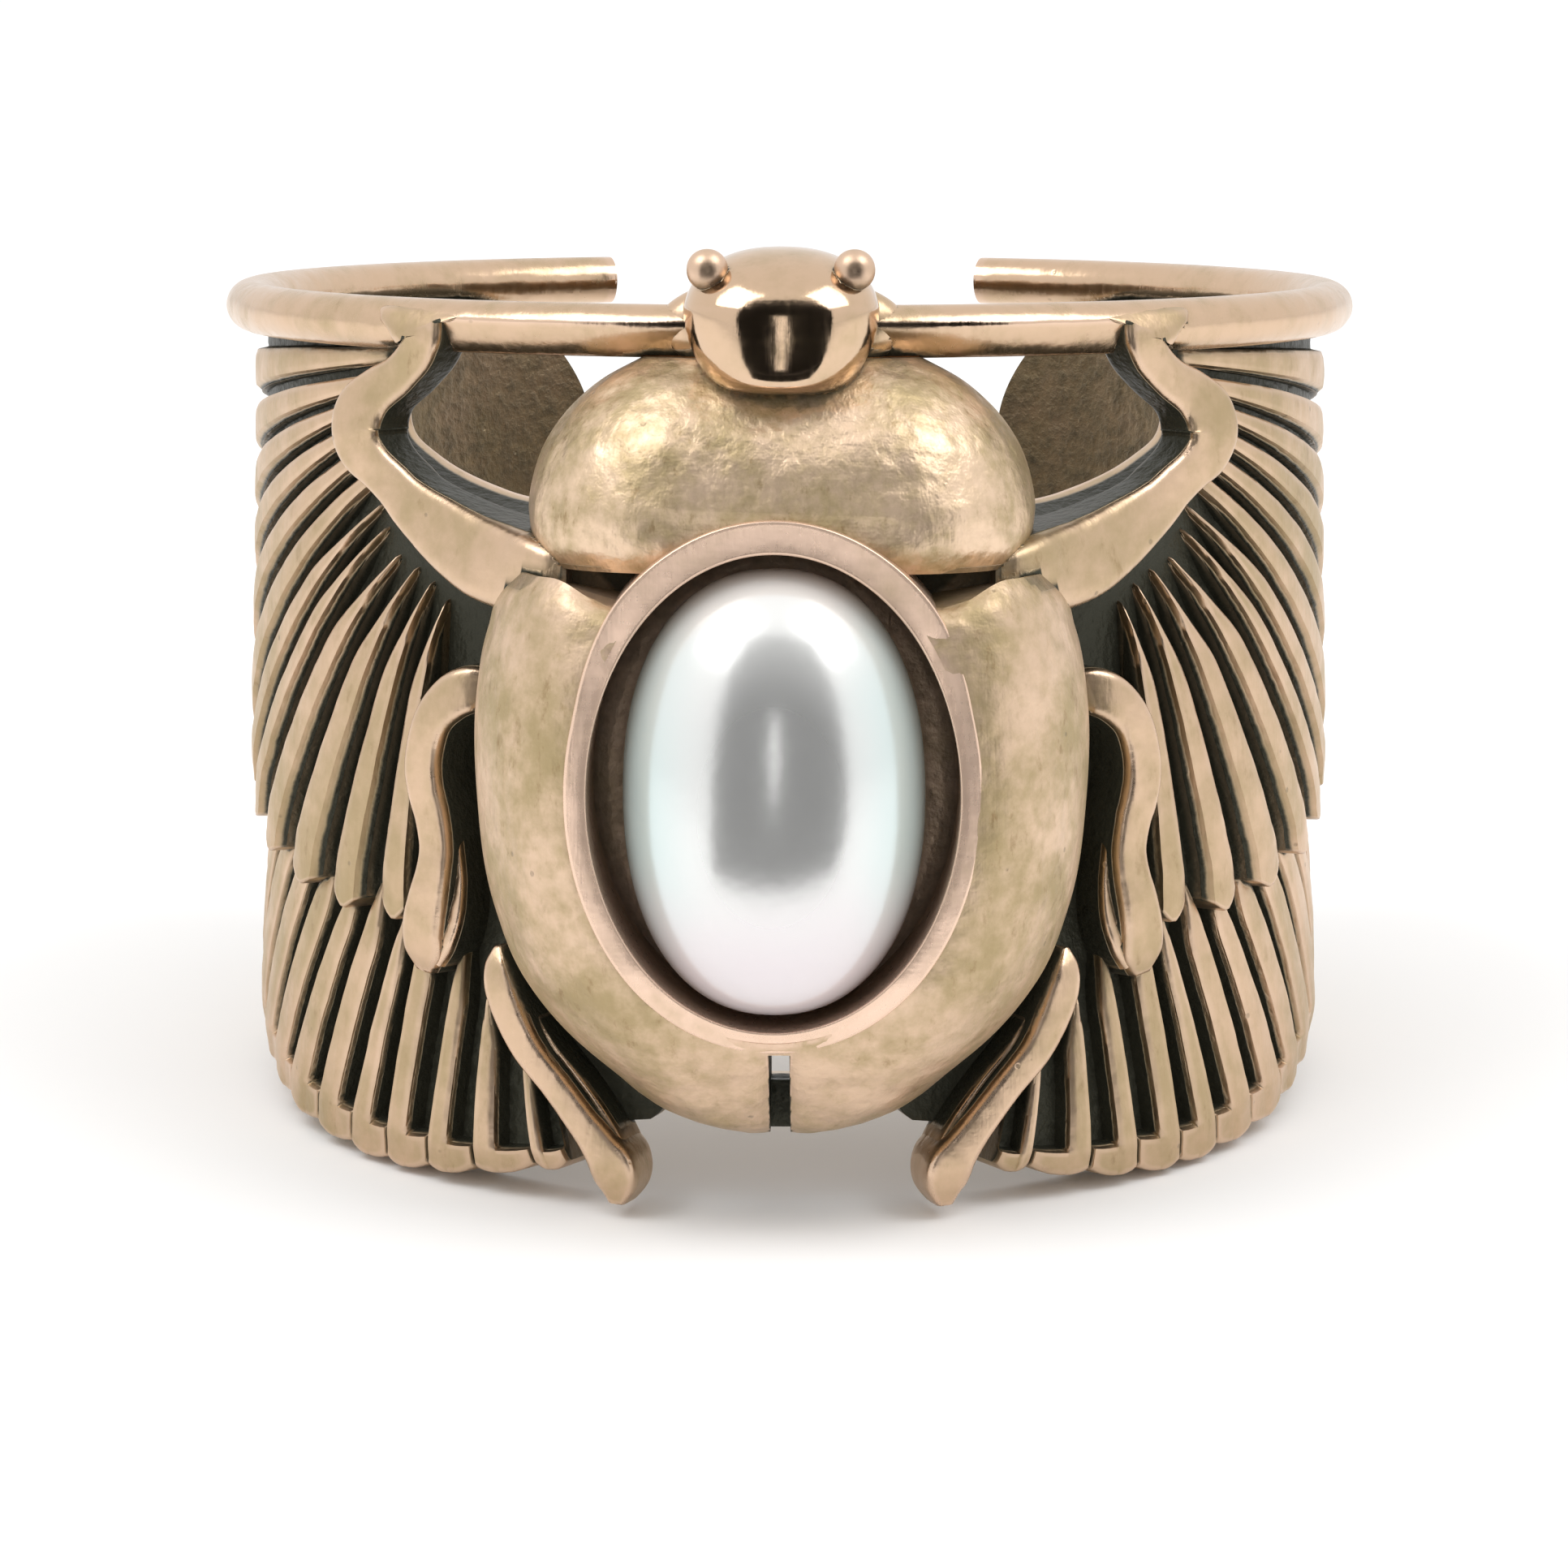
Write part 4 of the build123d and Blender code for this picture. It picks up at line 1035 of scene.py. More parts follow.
def make_well(steps=200):
    """The lip, the wall and the floor of the well in one closed skin."""
    turn = np.linspace(0, 2 * math.pi, steps, endpoint=False)
    width = SIDE_LIP + (COLLAR_WIDTH - SIDE_LIP) * eased((np.sin(turn) - 0.25) / 0.5)
    top = lip_height(turn)
    outer_top = lip_height(turn, width)
    rings = []
    for out, rise in well_profile():
        rings.append(oval(turn, WELL_HALF_X + out * width, WELL_HALF_Z + out * width,
                          top + (outer_top - top) * out + rise))
    for shrink in (1.0, 0.97, 0.9, 0.6, 0.3):
        rings.append(oval(turn, WELL_HALF_X * shrink, WELL_HALF_Z * shrink,
                          WELL_FLOOR + CORNER_RISE.get(shrink, 0.0)))
    back = rings[0].copy()
    back[:, 1] = -(WELL_FLOOR - 0.2)
    rings.insert(0, back)
    return mesh_of(rings, quads(len(rings), steps, close_columns=True))


def well_painted_shade(points):
    """Painted shade on the wall of the well below its lip, black in the corner."""
    across = (points[:, 0] - WELL_X) / (WELL_HALF_X + 0.03)
    along_it = (points[:, 2] - WELL_Z) / (WELL_HALF_Z + 0.03)
    deep = np.clip((WELL_DARK_FROM + points[:, 1]) / WELL_DARK_RUN, 0, 1)
    return (across ** 2 + along_it ** 2 < 1) * (WALL_DARK + CORNER_DARK * deep ** 3)


add_piece("pearl_well", make_well(), ground=well_painted_shade)

# %% [markdown]
# ## Walls of the ring
# Under the feathers lies a plain curved wall, and behind the body a plain band. The wall is
# pierced beside the thorax. The window's edge is a swept strip with a softly rounded inner
# edge, which catches the light.

# %% The pierced walls
# the window's outline: angle and height on the inside, angle and height on the outside
WINDOW = [
    (10.0, 8.85, 14.0, 8.85), (26.0, 8.85, 25.0, 8.85), (42.6, 8.85, 36.5, 8.85),
    (45.2, 8.45, 38.8, 8.25), (48.6, 7.98, 43.4, 7.80), (50.6, 7.66, 46.4, 7.45),
    (50.8, 7.36, 46.8, 7.10), (49.6, 7.08, 45.4, 6.80), (46.3, 6.82, 42.2, 6.45),
    (42.0, 6.55, 39.1, 6.12), (36.5, 6.30, 35.0, 5.85), (31.0, 6.12, 30.0, 5.70),
    (20.0, 5.95, 22.0, 5.60), (10.0, 5.75, 14.0, 5.50),
]
WINDOW_MIDDLE = (30.0, 7.3, 28.0, 7.2)
WINDOW_OUTER_R = 10.3


def ring_wall(clear, heights, degs, grid, side=1.0, shape=None):
    """Part of the ring's wall, closed, a hair clear of the finger hole."""
    steps, rows = grid
    degs = np.linspace(*degs, steps) * side
    heights = np.linspace(*heights, rows)
    loop = [(WALL_R, z) for z in heights] + [(FINGER_R + clear, z) for z in heights[::-1]]
    rings = np.array([[place(deg, z, radius) for radius, z in loop] for deg in degs])
    if shape:
        rings = shape(rings)
    return mesh_of(rings, quads(len(degs), len(loop), close_columns=True))


def window_lines(side, spread=0.0):
    """The window's outline on the outside and on the inside of the wall, as smooth curves."""
    table = np.array(WINDOW)
    fine = []
    for i in range(len(table)):
        before, here, after, later = (table[(i + k) % len(table)] for k in (-1, 0, 1, 2))
        for part in np.linspace(0, 1, 6, endpoint=False):
            fine.append(0.5 * (2 * here + (after - before) * part
                               + (2 * before - 5 * here + 4 * after - later) * part ** 2
                               + (3 * here - before - 3 * after + later) * part ** 3))
    fine = np.array(fine)
    middle = np.array(WINDOW_MIDDLE)
    fine = middle + (fine - middle) * (1 + spread)
    outside = place(fine[:, 2] * side, fine[:, 3], WINDOW_OUTER_R)
    inside = place(fine[:, 0] * side, fine[:, 1], FINGER_R)
    return outside, inside


def window_cutter(side):
    """A tapered plug in the shape of the window."""
    outside, inside = window_lines(side, 0.03)
    beyond = (outside - inside) * 0.6
    return mesh_of([inside - beyond, outside + beyond], plug_faces(len(outside)))


# the strip's section: shares of the way out through the wall, and away from the window
EDGE_SECTION = [(0.8, 0.0), (0.6, 0.0), (0.4, 0.0), (0.2, 0.0), (0.08, 0.0), (0.02, 0.04),
                (-0.015, 0.13), (-0.003, 0.3), (-0.003, 0.9)]


def window_edge(side):
    """The strip that lines the window, with a round inner edge."""
    outside, inside = window_lines(side)
    away_out, away_in = window_lines(side, 0.13)
    rings = [inside + (outside - inside) * out + (away_in - inside) * away
             for out, away in EDGE_SECTION]
    rings += [away_in + (away_out - away_in) * share for share in (0.2, 0.75)]
    return mesh_of(rings, quads(len(rings), len(outside), close_rows=True, close_columns=True))


# painted shade on the inside of the ring
INSIDE_PAINTED_SHADE = 0.40


def wall_patina_and_painted_shade(points):
    """Outside, the wall is the dark patina ground behind the relief; inside it gets painted shade."""
    radius = np.hypot(points[:, 0], points[:, 1])
    return np.where(radius > WALL_R - 0.1, 1.0, INSIDE_PAINTED_SHADE)


def window_painted_shade(points):
    """Painted shade on the cut sides of the window; its rounded inner edge stays bare and catches the
    light.
    """
    radius = np.hypot(points[:, 0], points[:, 1])
    return np.clip((radius - FINGER_R - 0.12) / 0.1, 0, 1)


# how far each wall is clear of the finger hole, its heights, its angles and its grid
WING_WALL = (0.004, (-1.0, 9.0), (13.0, 104.0), (92, 22))
LOW_WALL = (0.006, (-2.6, 0.0), (30.0, 41.5), (14, 6))
WALL_SHARP_DEG = 40.0
EDGE_SHARP_DEG = 60.0
for title, side in SIDES:
    wall = cut(ring_wall(*WING_WALL, side), [window_cutter(side)])
    add_piece(f"wing_wall_{title}", wall, WALL_SHARP_DEG, wall_patina_and_painted_shade)
    add_piece(f"window_edge_{title}", window_edge(side), EDGE_SHARP_DEG, window_painted_shade)
    add_piece(f"wing_wall_low_{title}", ring_wall(*LOW_WALL, side), WALL_SHARP_DEG, wall_patina_and_painted_shade)

# %% The plain band behind the body
BAND_TOP_Z = 5.45
BAND_BOTTOM_Z = -5.2
BAND_HALF_DEG = 32.0
# the height of the band's lower edge by the angle off the front
BAND_EDGE = {0: -4.88, 8: -4.80, 12.4: -4.62, 13.8: -4.95, 24: -5.12, 32: -4.6}


def lower_band_edge(points):
    """The band's lower edge stays hidden behind the round lower end of the wing cases."""
    deg = np.degrees(np.abs(np.arctan2(points[..., 0], -points[..., 1])))
    edge = np.interp(deg, list(BAND_EDGE), list(BAND_EDGE.values()))
    share = (points[..., 2] - BAND_TOP_Z) / (BAND_BOTTOM_Z - BAND_TOP_Z)
    points[..., 2] = BAND_TOP_Z + (edge - BAND_TOP_Z) * share
    return points


BAND = (0.002, (BAND_BOTTOM_Z, BAND_TOP_Z), (-BAND_HALF_DEG, BAND_HALF_DEG), (66, 24))
band = ring_wall(*BAND, shape=lower_band_edge)
add_piece("belly_band", cut(band, [through_cutter]), WALL_SHARP_DEG, wall_patina_and_painted_shade)

# %% [markdown]
# ## Head, neck and eyes
# The head is a smooth dome with a rather flat face and a brow, like a cushion cut stone. A
# stack of level outlines gives that: they grow quickly over the chin and lean back over the
# brow. The neck and the two bead eyes are stretched balls.

# %% The head
HEAD_CENTRE = (0.0, 10.95, 9.50)
HEAD_HALF = (1.72, 1.55, 1.26)
FACE_FULLNESS = 7.0     # below its middle the head is nearly upright
BROW_FULLNESS = 2.3
BROW_BACK = 0.42        # above the middle it leans back by this
PLAN_FULLNESS = 2.35
CHIN_SHARE = 0.24       # it gets narrower down to the chin, from a bit above the middle
CHIN_FROM = 0.2
NECK_CENTRE = (0.0, 10.15, 9.35)
NECK_HALF = (2.20, 0.72, 0.92)
EYE_R = 0.36
EYE_CENTRE = (1.28, 11.66, 10.40)


def ball_turns(around, levels):
    """The angles of a ball's points: round it, and from its lower to its upper pole."""
    turn = np.linspace(0, 2 * math.pi, around, endpoint=False)
    return turn, np.linspace(-math.pi / 2, math.pi / 2, levels + 1)


def full_ball(centre, half, fullness, around=72, levels=48):
    """A stretched ball; a fullness above 2 fills its corners."""
    turn, lifts = ball_turns(around, levels)
    rings = []
    for lift in lifts:
        x = np.cos(lift) * np.cos(turn)
        y = np.cos(lift) * np.sin(turn)
        z = np.full(around, np.sin(lift))
        size = (np.abs(x) ** fullness + np.abs(y) ** fullness + np.abs(z) ** fullness)
        size = size ** (-1 / fullness)
        rings.append(np.stack((centre[0] + half[0] * x * size, -centre[1] + half[1] * y * size,
                               centre[2] + half[2] * z * size), -1))
    return mesh_of(rings, quads(levels + 1, around, close_columns=True))


def make_head(around=120, levels=90):
    """The head: level outlines that grow quickly over the chin and lean back over the brow."""
    turn, lifts = ball_turns(around, levels)
    plan = np.abs(np.cos(turn)) ** PLAN_FULLNESS + np.abs(np.sin(turn)) ** PLAN_FULLNESS
    plan = plan ** (-1 / PLAN_FULLNESS)
    rings = []
    for height in np.sin(lifts):
        fullness = FACE_FULLNESS + (BROW_FULLNESS - FACE_FULLNESS) * eased((height + 0.3) / 0.6)
        size = plan * max(1 - abs(height) ** fullness, 0.0) ** (1 / fullness)
        narrower = 1 - CHIN_SHARE * max(CHIN_FROM - height, 0.0) ** 2
        back = BROW_BACK * max(height, 0.0) ** 2
        x = HEAD_HALF[0] * size * np.cos(turn) * narrower
        y = HEAD_HALF[1] * size * np.sin(turn) - (HEAD_CENTRE[1] - back)
        rings.append(np.stack((x, y, np.full(around, HEAD_CENTRE[2] + HEAD_HALF[2] * height)), -1))
    return mesh_of(rings, quads(levels + 1, around, close_columns=True))


def painted_shade_below(centre, half, share):
    """Painted shade on the underside of a ball: which of its points get it, and how much."""
    return lambda points: share * np.clip((centre[2] - points[:, 2]) / half - 0.1, 0, 1)


ROUND_SHARP_DEG = 60.0
EYE_FULLNESS = 2.1
# painted shade on the eyes' undersides
EYE_PAINTED_SHADE = 0.9
add_piece("head", make_head(), ROUND_SHARP_DEG)
add_piece("neck", full_ball(NECK_CENTRE, NECK_HALF, 2.0), ROUND_SHARP_DEG)
for title, side in SIDES:
    x, forward, z = EYE_CENTRE
    eye = full_ball((side * x, forward, z), (EYE_R,) * 3, EYE_FULLNESS, 48, 32)
    add_piece(f"eye_{title}", eye, ROUND_SHARP_DEG, painted_shade_below(EYE_CENTRE, EYE_R, EYE_PAINTED_SHADE))
metal_pieces = list(pieces)

# %% [markdown]
# ## The pearl
# A real pearl is never quite round, so its oval gets a very slight waviness. The peg that
# carries it is hidden behind it, and needs no piece here.

# %% The pearl's shape
PEARL_HALF = (2.66, 2.2, 3.93)
PEARL_FULLNESS = 2.25   # 2 would be an exact ellipse
PEARL_LOWER = 0.03      # the pearl sits this much lower in its well than the solid's middle
PEARL_WAVE = 0.004
PEARL_SHARP_DEG = 80.0
PEARL_HEIGHT_SHARE = 0.998


def make_pearl(around=160, levels=120):
    """An oval with slow, slight waves."""
    turn, lifts = ball_turns(around, levels)
    rings = []
    for lift in lifts:
        wave = 1 - PEARL_WAVE * (1 + np.sin(3 * turn + 2 * lift) * np.cos(lift))
        size = np.cos(lift) ** PEARL_FULLNESS + abs(math.sin(lift)) ** PEARL_FULLNESS
        size = size ** (-1 / PEARL_FULLNESS)
        x = PEARL_HALF[0] * size * np.cos(lift) * np.cos(turn) * wave
        y = PEARL_HALF[1] * size * np.cos(lift) * np.sin(turn) * wave
        z = PEARL_HALF[2] * size * np.sin(lift) * PEARL_HEIGHT_SHARE * np.ones(around)
        rings.append(np.stack((x, y, z - PEARL_LOWER), -1) + np.array(PEARL_CENTRE))
    return mesh_of(rings, quads(levels + 1, around, close_columns=True))


pearl = add_piece("pearl_oval", make_pearl(), PEARL_SHARP_DEG)

# %% [markdown]
# ## Where dirt gathers and where polish wears
# Old silver turns dark where no cloth reaches, and stays bright on its edges. Both are
# measured on the finished shape. From each point a few rays fan out; the share that hits
# metal close by tells how deep the point lies. How sharply the surface bends outwards tells
# where it rubs bare. The two numbers are stored with the mesh, so materials can read them.

# %% Measure recess and wear
REACH_MM = 1.1
LIFT_MM = 0.02          # rays start this far off the surface
GOLDEN_ANGLE = 2.39996
FULL_BEND = 5.0         # a bend of this many per millimetre counts as fully worn
RAYS = 14


def ray_fan(count):
    """Directions that cover the half ball round Z, more of them near Z."""
    fan = []
    for number in range(count):
        height = math.sqrt(1 - (number + 0.5) / count * 0.97)
        turn = number * GOLDEN_ANGLE
        flat = math.sqrt(1 - height * height)
        fan.append(Vector((flat * math.cos(turn), flat * math.sin(turn), height)))
    return fan


def measure(targets, blockers):
    """Stores recess and wear on every target."""
    corners, polygons, count = [], [], 0
    for item in blockers:
        corners += [v.co[:] for v in item.data.vertices]
        polygons += [[count + k for k in face.vertices] for face in item.data.polygons]
        count += len(item.data.vertices)
    tree = BVHTree.FromPolygons(corners, polygons)
    fan = ray_fan(RAYS)
    reach = REACH_MM * MM
    for item in targets:
        mesh = item.data
        recess = np.zeros(len(mesh.vertices))
        for number, vertex in enumerate(mesh.vertices):
            turn = vertex.normal.to_track_quat("Z", "Y")
            start = vertex.co + vertex.normal * LIFT_MM * MM
            blocked = 0.0
            for direction in fan:
                distance = tree.ray_cast(start, turn @ direction, reach)[3]
                if distance is not None:
                    blocked += 1 - 0.5 * distance / reach
            recess[number] = blocked / RAYS
        mark(mesh, "recess", recess)
        mark(mesh, "wear", outward_bend(mesh))


def outward_bend(mesh):
    """How sharply each point sticks out, in bends per millimetre, spread a little."""
    ends = np.empty(2 * len(mesh.edges), np.int32)
    mesh.edges.foreach_get("vertices", ends)
    first, second = ends.reshape(-1, 2).T
    places = points_of(mesh) / MM
    normals = np.array([v.normal[:] for v in mesh.vertices])
    step = places[second] - places[first]
    length = np.maximum(np.linalg.norm(step, axis=1), 0.02)
    bend = np.einsum("ij,ij->i", normals[second] - normals[first], step) / length ** 2
    total = np.zeros(len(places))
    share = np.full(len(places), 1e-9)
    for end in (first, second):
        np.add.at(total, end, bend)
        np.add.at(share, end, 1.0)
    value = np.clip(total / share / FULL_BEND, 0, 1)
    spread = np.zeros(len(places))
    np.add.at(spread, first, value[second])
    np.add.at(spread, second, value[first])
    return 0.5 * value + 0.5 * spread / share


measure(metal_pieces, metal_pieces)
print("recess and wear measured with", RAYS, "rays a point")

# %% [markdown]
# ## Effects that several finishes share
# Each effect is one node group with named inputs: dark patina that fills recesses and also
# carries painted shade, stains that lie on the metal like old varnish, and the fine scratches
# of a polishing cloth. A group only gives masks and heights; each material mixes them in its
# own way.

# %% Shared shader groups
SCRATCH_MM, DENT_MM, PIT_MM = 0.006, 0.10, 0.05


def patina_and_shade_group():
    """Dark patina, and painted shade where it is marked: 1 in recesses, with a ragged rim."""
    graph, given, result = new_tree(
        "Dark patina and painted shade", "ShaderNodeTree",
        {"Place": "Vector", "Recess": 0.0, "From": 0.4, "To": 0.7, "Ragged": 0.3},
        {"Mask": "Float"})
    rim = graph.minus(graph.noise(given["Place"], 3.2, 4.0, 0.65), 0.5)
    value = graph.math("MULTIPLY_ADD", rim, given["Ragged"], given["Recess"])
    graph.feed(result["Mask"], graph.step(value, given["From"], given["To"]))
    return graph.tree


def stain_group():
    """Old stains: soft clouds with darker flecks inside."""
    graph, given, result = new_tree(
        "Old stains", "ShaderNodeTree", {"Place": "Vector", "Size": 1.0, "Cover": 0.4, "Soft": 0.15},
        {"Clouds": "Float", "Flecks": "Float"})
    shrunk = graph.scaled(given["Place"], graph.ratio(1.0, given["Size"]))
    small = graph.noise(shrunk, 2.6, 4.0, 0.6, seed=3.0)
    large = graph.noise(shrunk, 0.55, 3.0, 0.5, seed=1.0)
    cloud = graph.math("MULTIPLY_ADD", small, 0.35, graph.product(large, 0.65))
    edge = graph.math("MULTIPLY_ADD", given["Cover"], -0.34, 0.67)
    clouds = graph.step(cloud, graph.minus(edge, given["Soft"]), graph.total(edge, given["Soft"]))
    fleck = graph.noise(shrunk, 3.4, 5.0, 0.7, (1.0, 1.0, 0.45), 7.0)
    graph.feed(result["Clouds"], clouds)
    graph.feed(result["Flecks"], graph.product(graph.step(fleck, 0.55, 0.70), clouds))
    return graph.tree


def cloth_group():
    """What a polishing cloth leaves: long fine scratches, soft dents and casting pits."""
    graph, given, result = new_tree(
        "Cloth marks", "ShaderNodeTree", {"Place": "Vector", "Scratch": 1.0, "Dent": 1.0, "Pit": 1.0},
        {"Height": "Float", "Dull": "Float", "Pits": "Float"})
    place = given["Place"]
    long_lines = graph.noise(place, 9.0, 2.0, 0.6, (1.0, 1.0, 0.07), 2.0)
    cross_lines = graph.noise(place, 8.0, 2.0, 0.6, (0.09, 1.0, 1.0), 5.0)
    lines = graph.total(long_lines, graph.product(cross_lines, 0.6))
    dents = graph.math("MULTIPLY_ADD", graph.noise(place, 2.6, 3.0, 0.55, seed=6.0), 0.30,
                       graph.noise(place, 0.9, 2.0, 0.5, seed=9.0))
    cells = graph.node("ShaderNodeTexVoronoi", {"Vector": place, "Scale": 1.15, "Randomness": 1.0})
    pits = graph.step(cells.outputs["Distance"], 0.035, 0.075, 1.0, 0.0)
    height = graph.total(graph.product(lines, given["Scratch"], SCRATCH_MM),
                         graph.product(dents, given["Dent"], DENT_MM),
                         graph.product(pits, given["Pit"], -PIT_MM))
    graph.feed(result["Height"], height)
    graph.feed(result["Dull"], graph.minus(lines, 0.8))
    graph.feed(result["Pits"], graph.product(pits, given["Pit"]))
    return graph.tree


patina, stains, cloth = patina_and_shade_group(), stain_group(), cloth_group()
print("shared groups:", patina.name, "|", stains.name, "|", cloth.name)

# %% [markdown]
# ## The metal's finishes
# It is one casting, but it isn't finished alike all over. Head, rail and lip are polished,
# the body is satin from years of wear, the relief keeps its dark ground, and the inside has
# only been wiped. The same dark mix also paints shade into seams, slits, flanks, the eyes'
# undersides and the inside, and the thorax is made lighter with painted light. One function
# builds them all from the shared groups, with different values.

# %% Metal finishes
GOLD = (0.665, 0.475, 0.325)
SATIN_GOLD = (0.720, 0.530, 0.380)
# a lighter copy of the satin gold: painted light on the thorax
THORAX_LIT_GOLD = (0.790, 0.590, 0.420)
LIP_PINK = (0.850, 0.620, 0.480)
PINK_EDGE = (0.775, 0.560, 0.425)
OLIVE_STAIN = (0.405, 0.315, 0.165)
BROWN_FLECK = (0.330, 0.225, 0.115)
OLIVE_SHADE = (0.240, 0.185, 0.105)
# the dark patina colour, which also paints the marked shade
DARK_PATINA_AND_SHADE = (0.044, 0.043, 0.030)


def mix_colour(graph, share, first, second):
    """A mix of two colours."""
    node = graph.node("ShaderNodeMix", data_type="RGBA")
    graph.feed(node.inputs["Factor"], share)
    for number, value in ((6, first), (7, second)):
        graph.feed(node.inputs[number], (*value, 1.0) if isinstance(value, tuple) else value)
    return node.outputs[2]


def group(graph, tree, inputs):
    """One of the shared groups with its own values."""
    node = graph.node("ShaderNodeGroup", node_tree=tree)
    for key, value in inputs.items():
        graph.feed(node.inputs[key], value)
    return node.outputs


def new_material(name):
    """A new material, its graph, its shader and the place on the object."""
    material = bpy.data.materials.new(name)
    material.use_nodes = True
    graph = Graph(material.node_tree)
    coordinates = graph.node("ShaderNodeTexCoord").outputs["Object"]
    return material, graph, graph.tree.nodes["Principled BSDF"], coordinates


def bump(graph, shader, height_mm):
    """Feeds a height in millimetres to the shader's normal."""
    node = graph.node("ShaderNodeBump", {"Strength": 1.0, "Distance": MM, "Height": height_mm})
    graph.feed(shader.inputs["Normal"], node.outputs["Normal"])


RUBBED_FROM, RUBBED_FULL = 0.15, 0.75
RUBBED_CLEARS = 0.35    # rubbed edges lose this share of their patina
HALF_DARK = (0.12, 0.6)         # shade starts at this depth, and goes up to this share
PATINA_DULL = 0.42
PATINA_METALLIC = 0.45
CRUST_MM = 0.05


def metal(name, dull, cover, stain_size, dark_from, dark_to, marks, tint=GOLD, recess_share=1.15,
          rub=0.75, mirror=1.0, patchy=0.75):
    """A finish of the casting; marks are the amounts of scratches, dents and pits."""
    material, graph, shader, coordinates = new_material(name)
    spot = graph.scaled(coordinates, 1 / MM)
    values = {}
    for title in ("ground", "recess", "wear"):
        values[title] = graph.node("ShaderNodeAttribute", attribute_name=title).outputs["Fac"]
    # deep: dark patina in recesses, plus the painted shade that the pieces mark
    deep = graph.math("MAXIMUM", values["ground"], graph.product(values["recess"], recess_share))
    dark = group(graph, patina, {"Place": spot, "Recess": deep, "From": dark_from, "To": dark_to})
    stain = group(graph, stains, {"Place": spot, "Cover": cover, "Size": stain_size})
    mark_of = group(graph, cloth, {"Place": spot, **dict(zip(("Scratch", "Dent", "Pit"), marks))})
    rubbed = graph.step(values["wear"], RUBBED_FROM, RUBBED_FULL)
    colour = mix_colour(graph, graph.product(stain["Clouds"], patchy), tint, OLIVE_STAIN)
    colour = mix_colour(graph, graph.product(stain["Flecks"], patchy), colour, BROWN_FLECK)
    colour = mix_colour(graph, graph.product(rubbed, rub), colour, PINK_EDGE)
    half_dark = graph.step(deep, HALF_DARK[0], dark_to, 0.0, HALF_DARK[1])
    colour = mix_colour(graph, half_dark, colour, OLIVE_SHADE)
    bare = graph.minus(1.0, graph.product(rubbed, RUBBED_CLEARS))
    dark = graph.math("MAXIMUM", graph.product(dark["Mask"], bare), mark_of["Pits"])
    # dark patina colour, also painted as shade where the pieces mark it
    colour = mix_colour(graph, dark, colour, DARK_PATINA_AND_SHADE)
    graph.feed(shader.inputs["Base Color"], colour)
    graph.feed(shader.inputs["Metallic"], graph.between(dark, mirror, PATINA_METALLIC))
    shader.inputs["Specular IOR Level"].default_value = 0.2
    dullness = graph.total(dull, graph.product(mark_of["Dull"], 0.20),
                           graph.product(stain["Clouds"], 0.10), graph.product(rubbed, -0.06))
    graph.feed(shader.inputs["Roughness"], graph.between(dark, dullness, PATINA_DULL))
    crust = graph.product(graph.noise(spot, 5.5, 3.0, 0.5, seed=4.0), dark, CRUST_MM)
    bump(graph, shader, graph.total(mark_of["Height"], crust))
    return material


SATIN = {"recess_share": 0.6, "patchy": 0.9}
# dull, stain cover, stain size, where the dark starts and is full, and the marks
FINISHES = {
    "polished_head": ((0.12, 0.12, 1.2, 0.55, 0.85, (0.25, 0.12, 0.0)), {}),
    "satin_eye": ((0.42, 0.3, 1.0, 0.45, 0.80, (0.6, 0.3, 0.0)), {}),
    "polished_rail": ((0.22, 0.22, 1.0, 0.55, 0.85, (0.5, 0.25, 0.15)), {}),
    "satin_body": ((0.40, 0.55, 0.85, 0.50, 0.80, (1.3, 1.3, 0.35), SATIN_GOLD),
                   {"mirror": 0.90, **SATIN}),
    "rubbed_and_lit_thorax": ((0.36, 0.50, 0.6, 0.50, 0.80, (1.4, 1.6, 0.2), THORAX_LIT_GOLD),
                      {"mirror": 0.86, **SATIN}),
    "well_lip": ((0.30, 0.25, 0.8, 0.45, 0.95, (0.6, 0.3, 0.0), LIP_PINK),
                 {"recess_share": 0.0, "mirror": 0.72, "patchy": 0.5}),
    "legs": ((0.32, 0.45, 1.2, 0.45, 0.70, (1.0, 0.5, 0.35)), {"rub": 0.45}),
    "feathers": ((0.36, 0.55, 1.5, 0.36, 0.66, (1.0, 0.4, 0.3)), {"rub": 0.40}),
    "wiped_wall": ((0.30, 0.45, 1.6, 0.50, 0.85, (1.2, 0.5, 0.3)), {}),
}
FINISHES = {name: metal(name, *values, **more) for name, (values, more) in FINISHES.items()}
FINISH_OF = (("head", "polished_head"), ("eye", "satin_eye"), ("rail", "polished_rail"),
             ("neck", "polished_rail"), ("wing_cases", "satin_body"), ("thorax", "rubbed_and_lit_thorax"),
             ("pearl_well", "well_lip"), ("upper_feathers", "feathers"), ("lower_feathers", "feathers"),
             ("wing_wall", "wiped_wall"), ("window", "wiped_wall"), ("belly", "wiped_wall"),
             ("waist", "wiped_wall"), ("", "legs"))
for piece in metal_pieces:
    finish = next(finish for start, finish in FINISH_OF if piece.name.startswith(start))
    piece.data.materials.clear()
    piece.data.materials.append(FINISHES[finish])
print(len(FINISHES), "metal finishes")

# %% [markdown]
# ## Nacre
# A pearl shines from inside: light bounces between thin layers under a smooth skin. A half
# metallic white with a clear coat gives that deep satin gloss. A greenish blue painted sheen
# lies on the flanks, and the nacre gets pinker towards the bottom; both follow the pearl's
# own shape.

# %% The pearl's material
NACRE_WHITE = (0.775, 0.775, 0.76)
# a painted sheen for the pearl's flanks
NACRE_SEA_SHEEN = (0.60, 0.72, 0.71)
NACRE_ROSE = (0.745, 0.675, 0.705)
SKIN_MM = 0.006


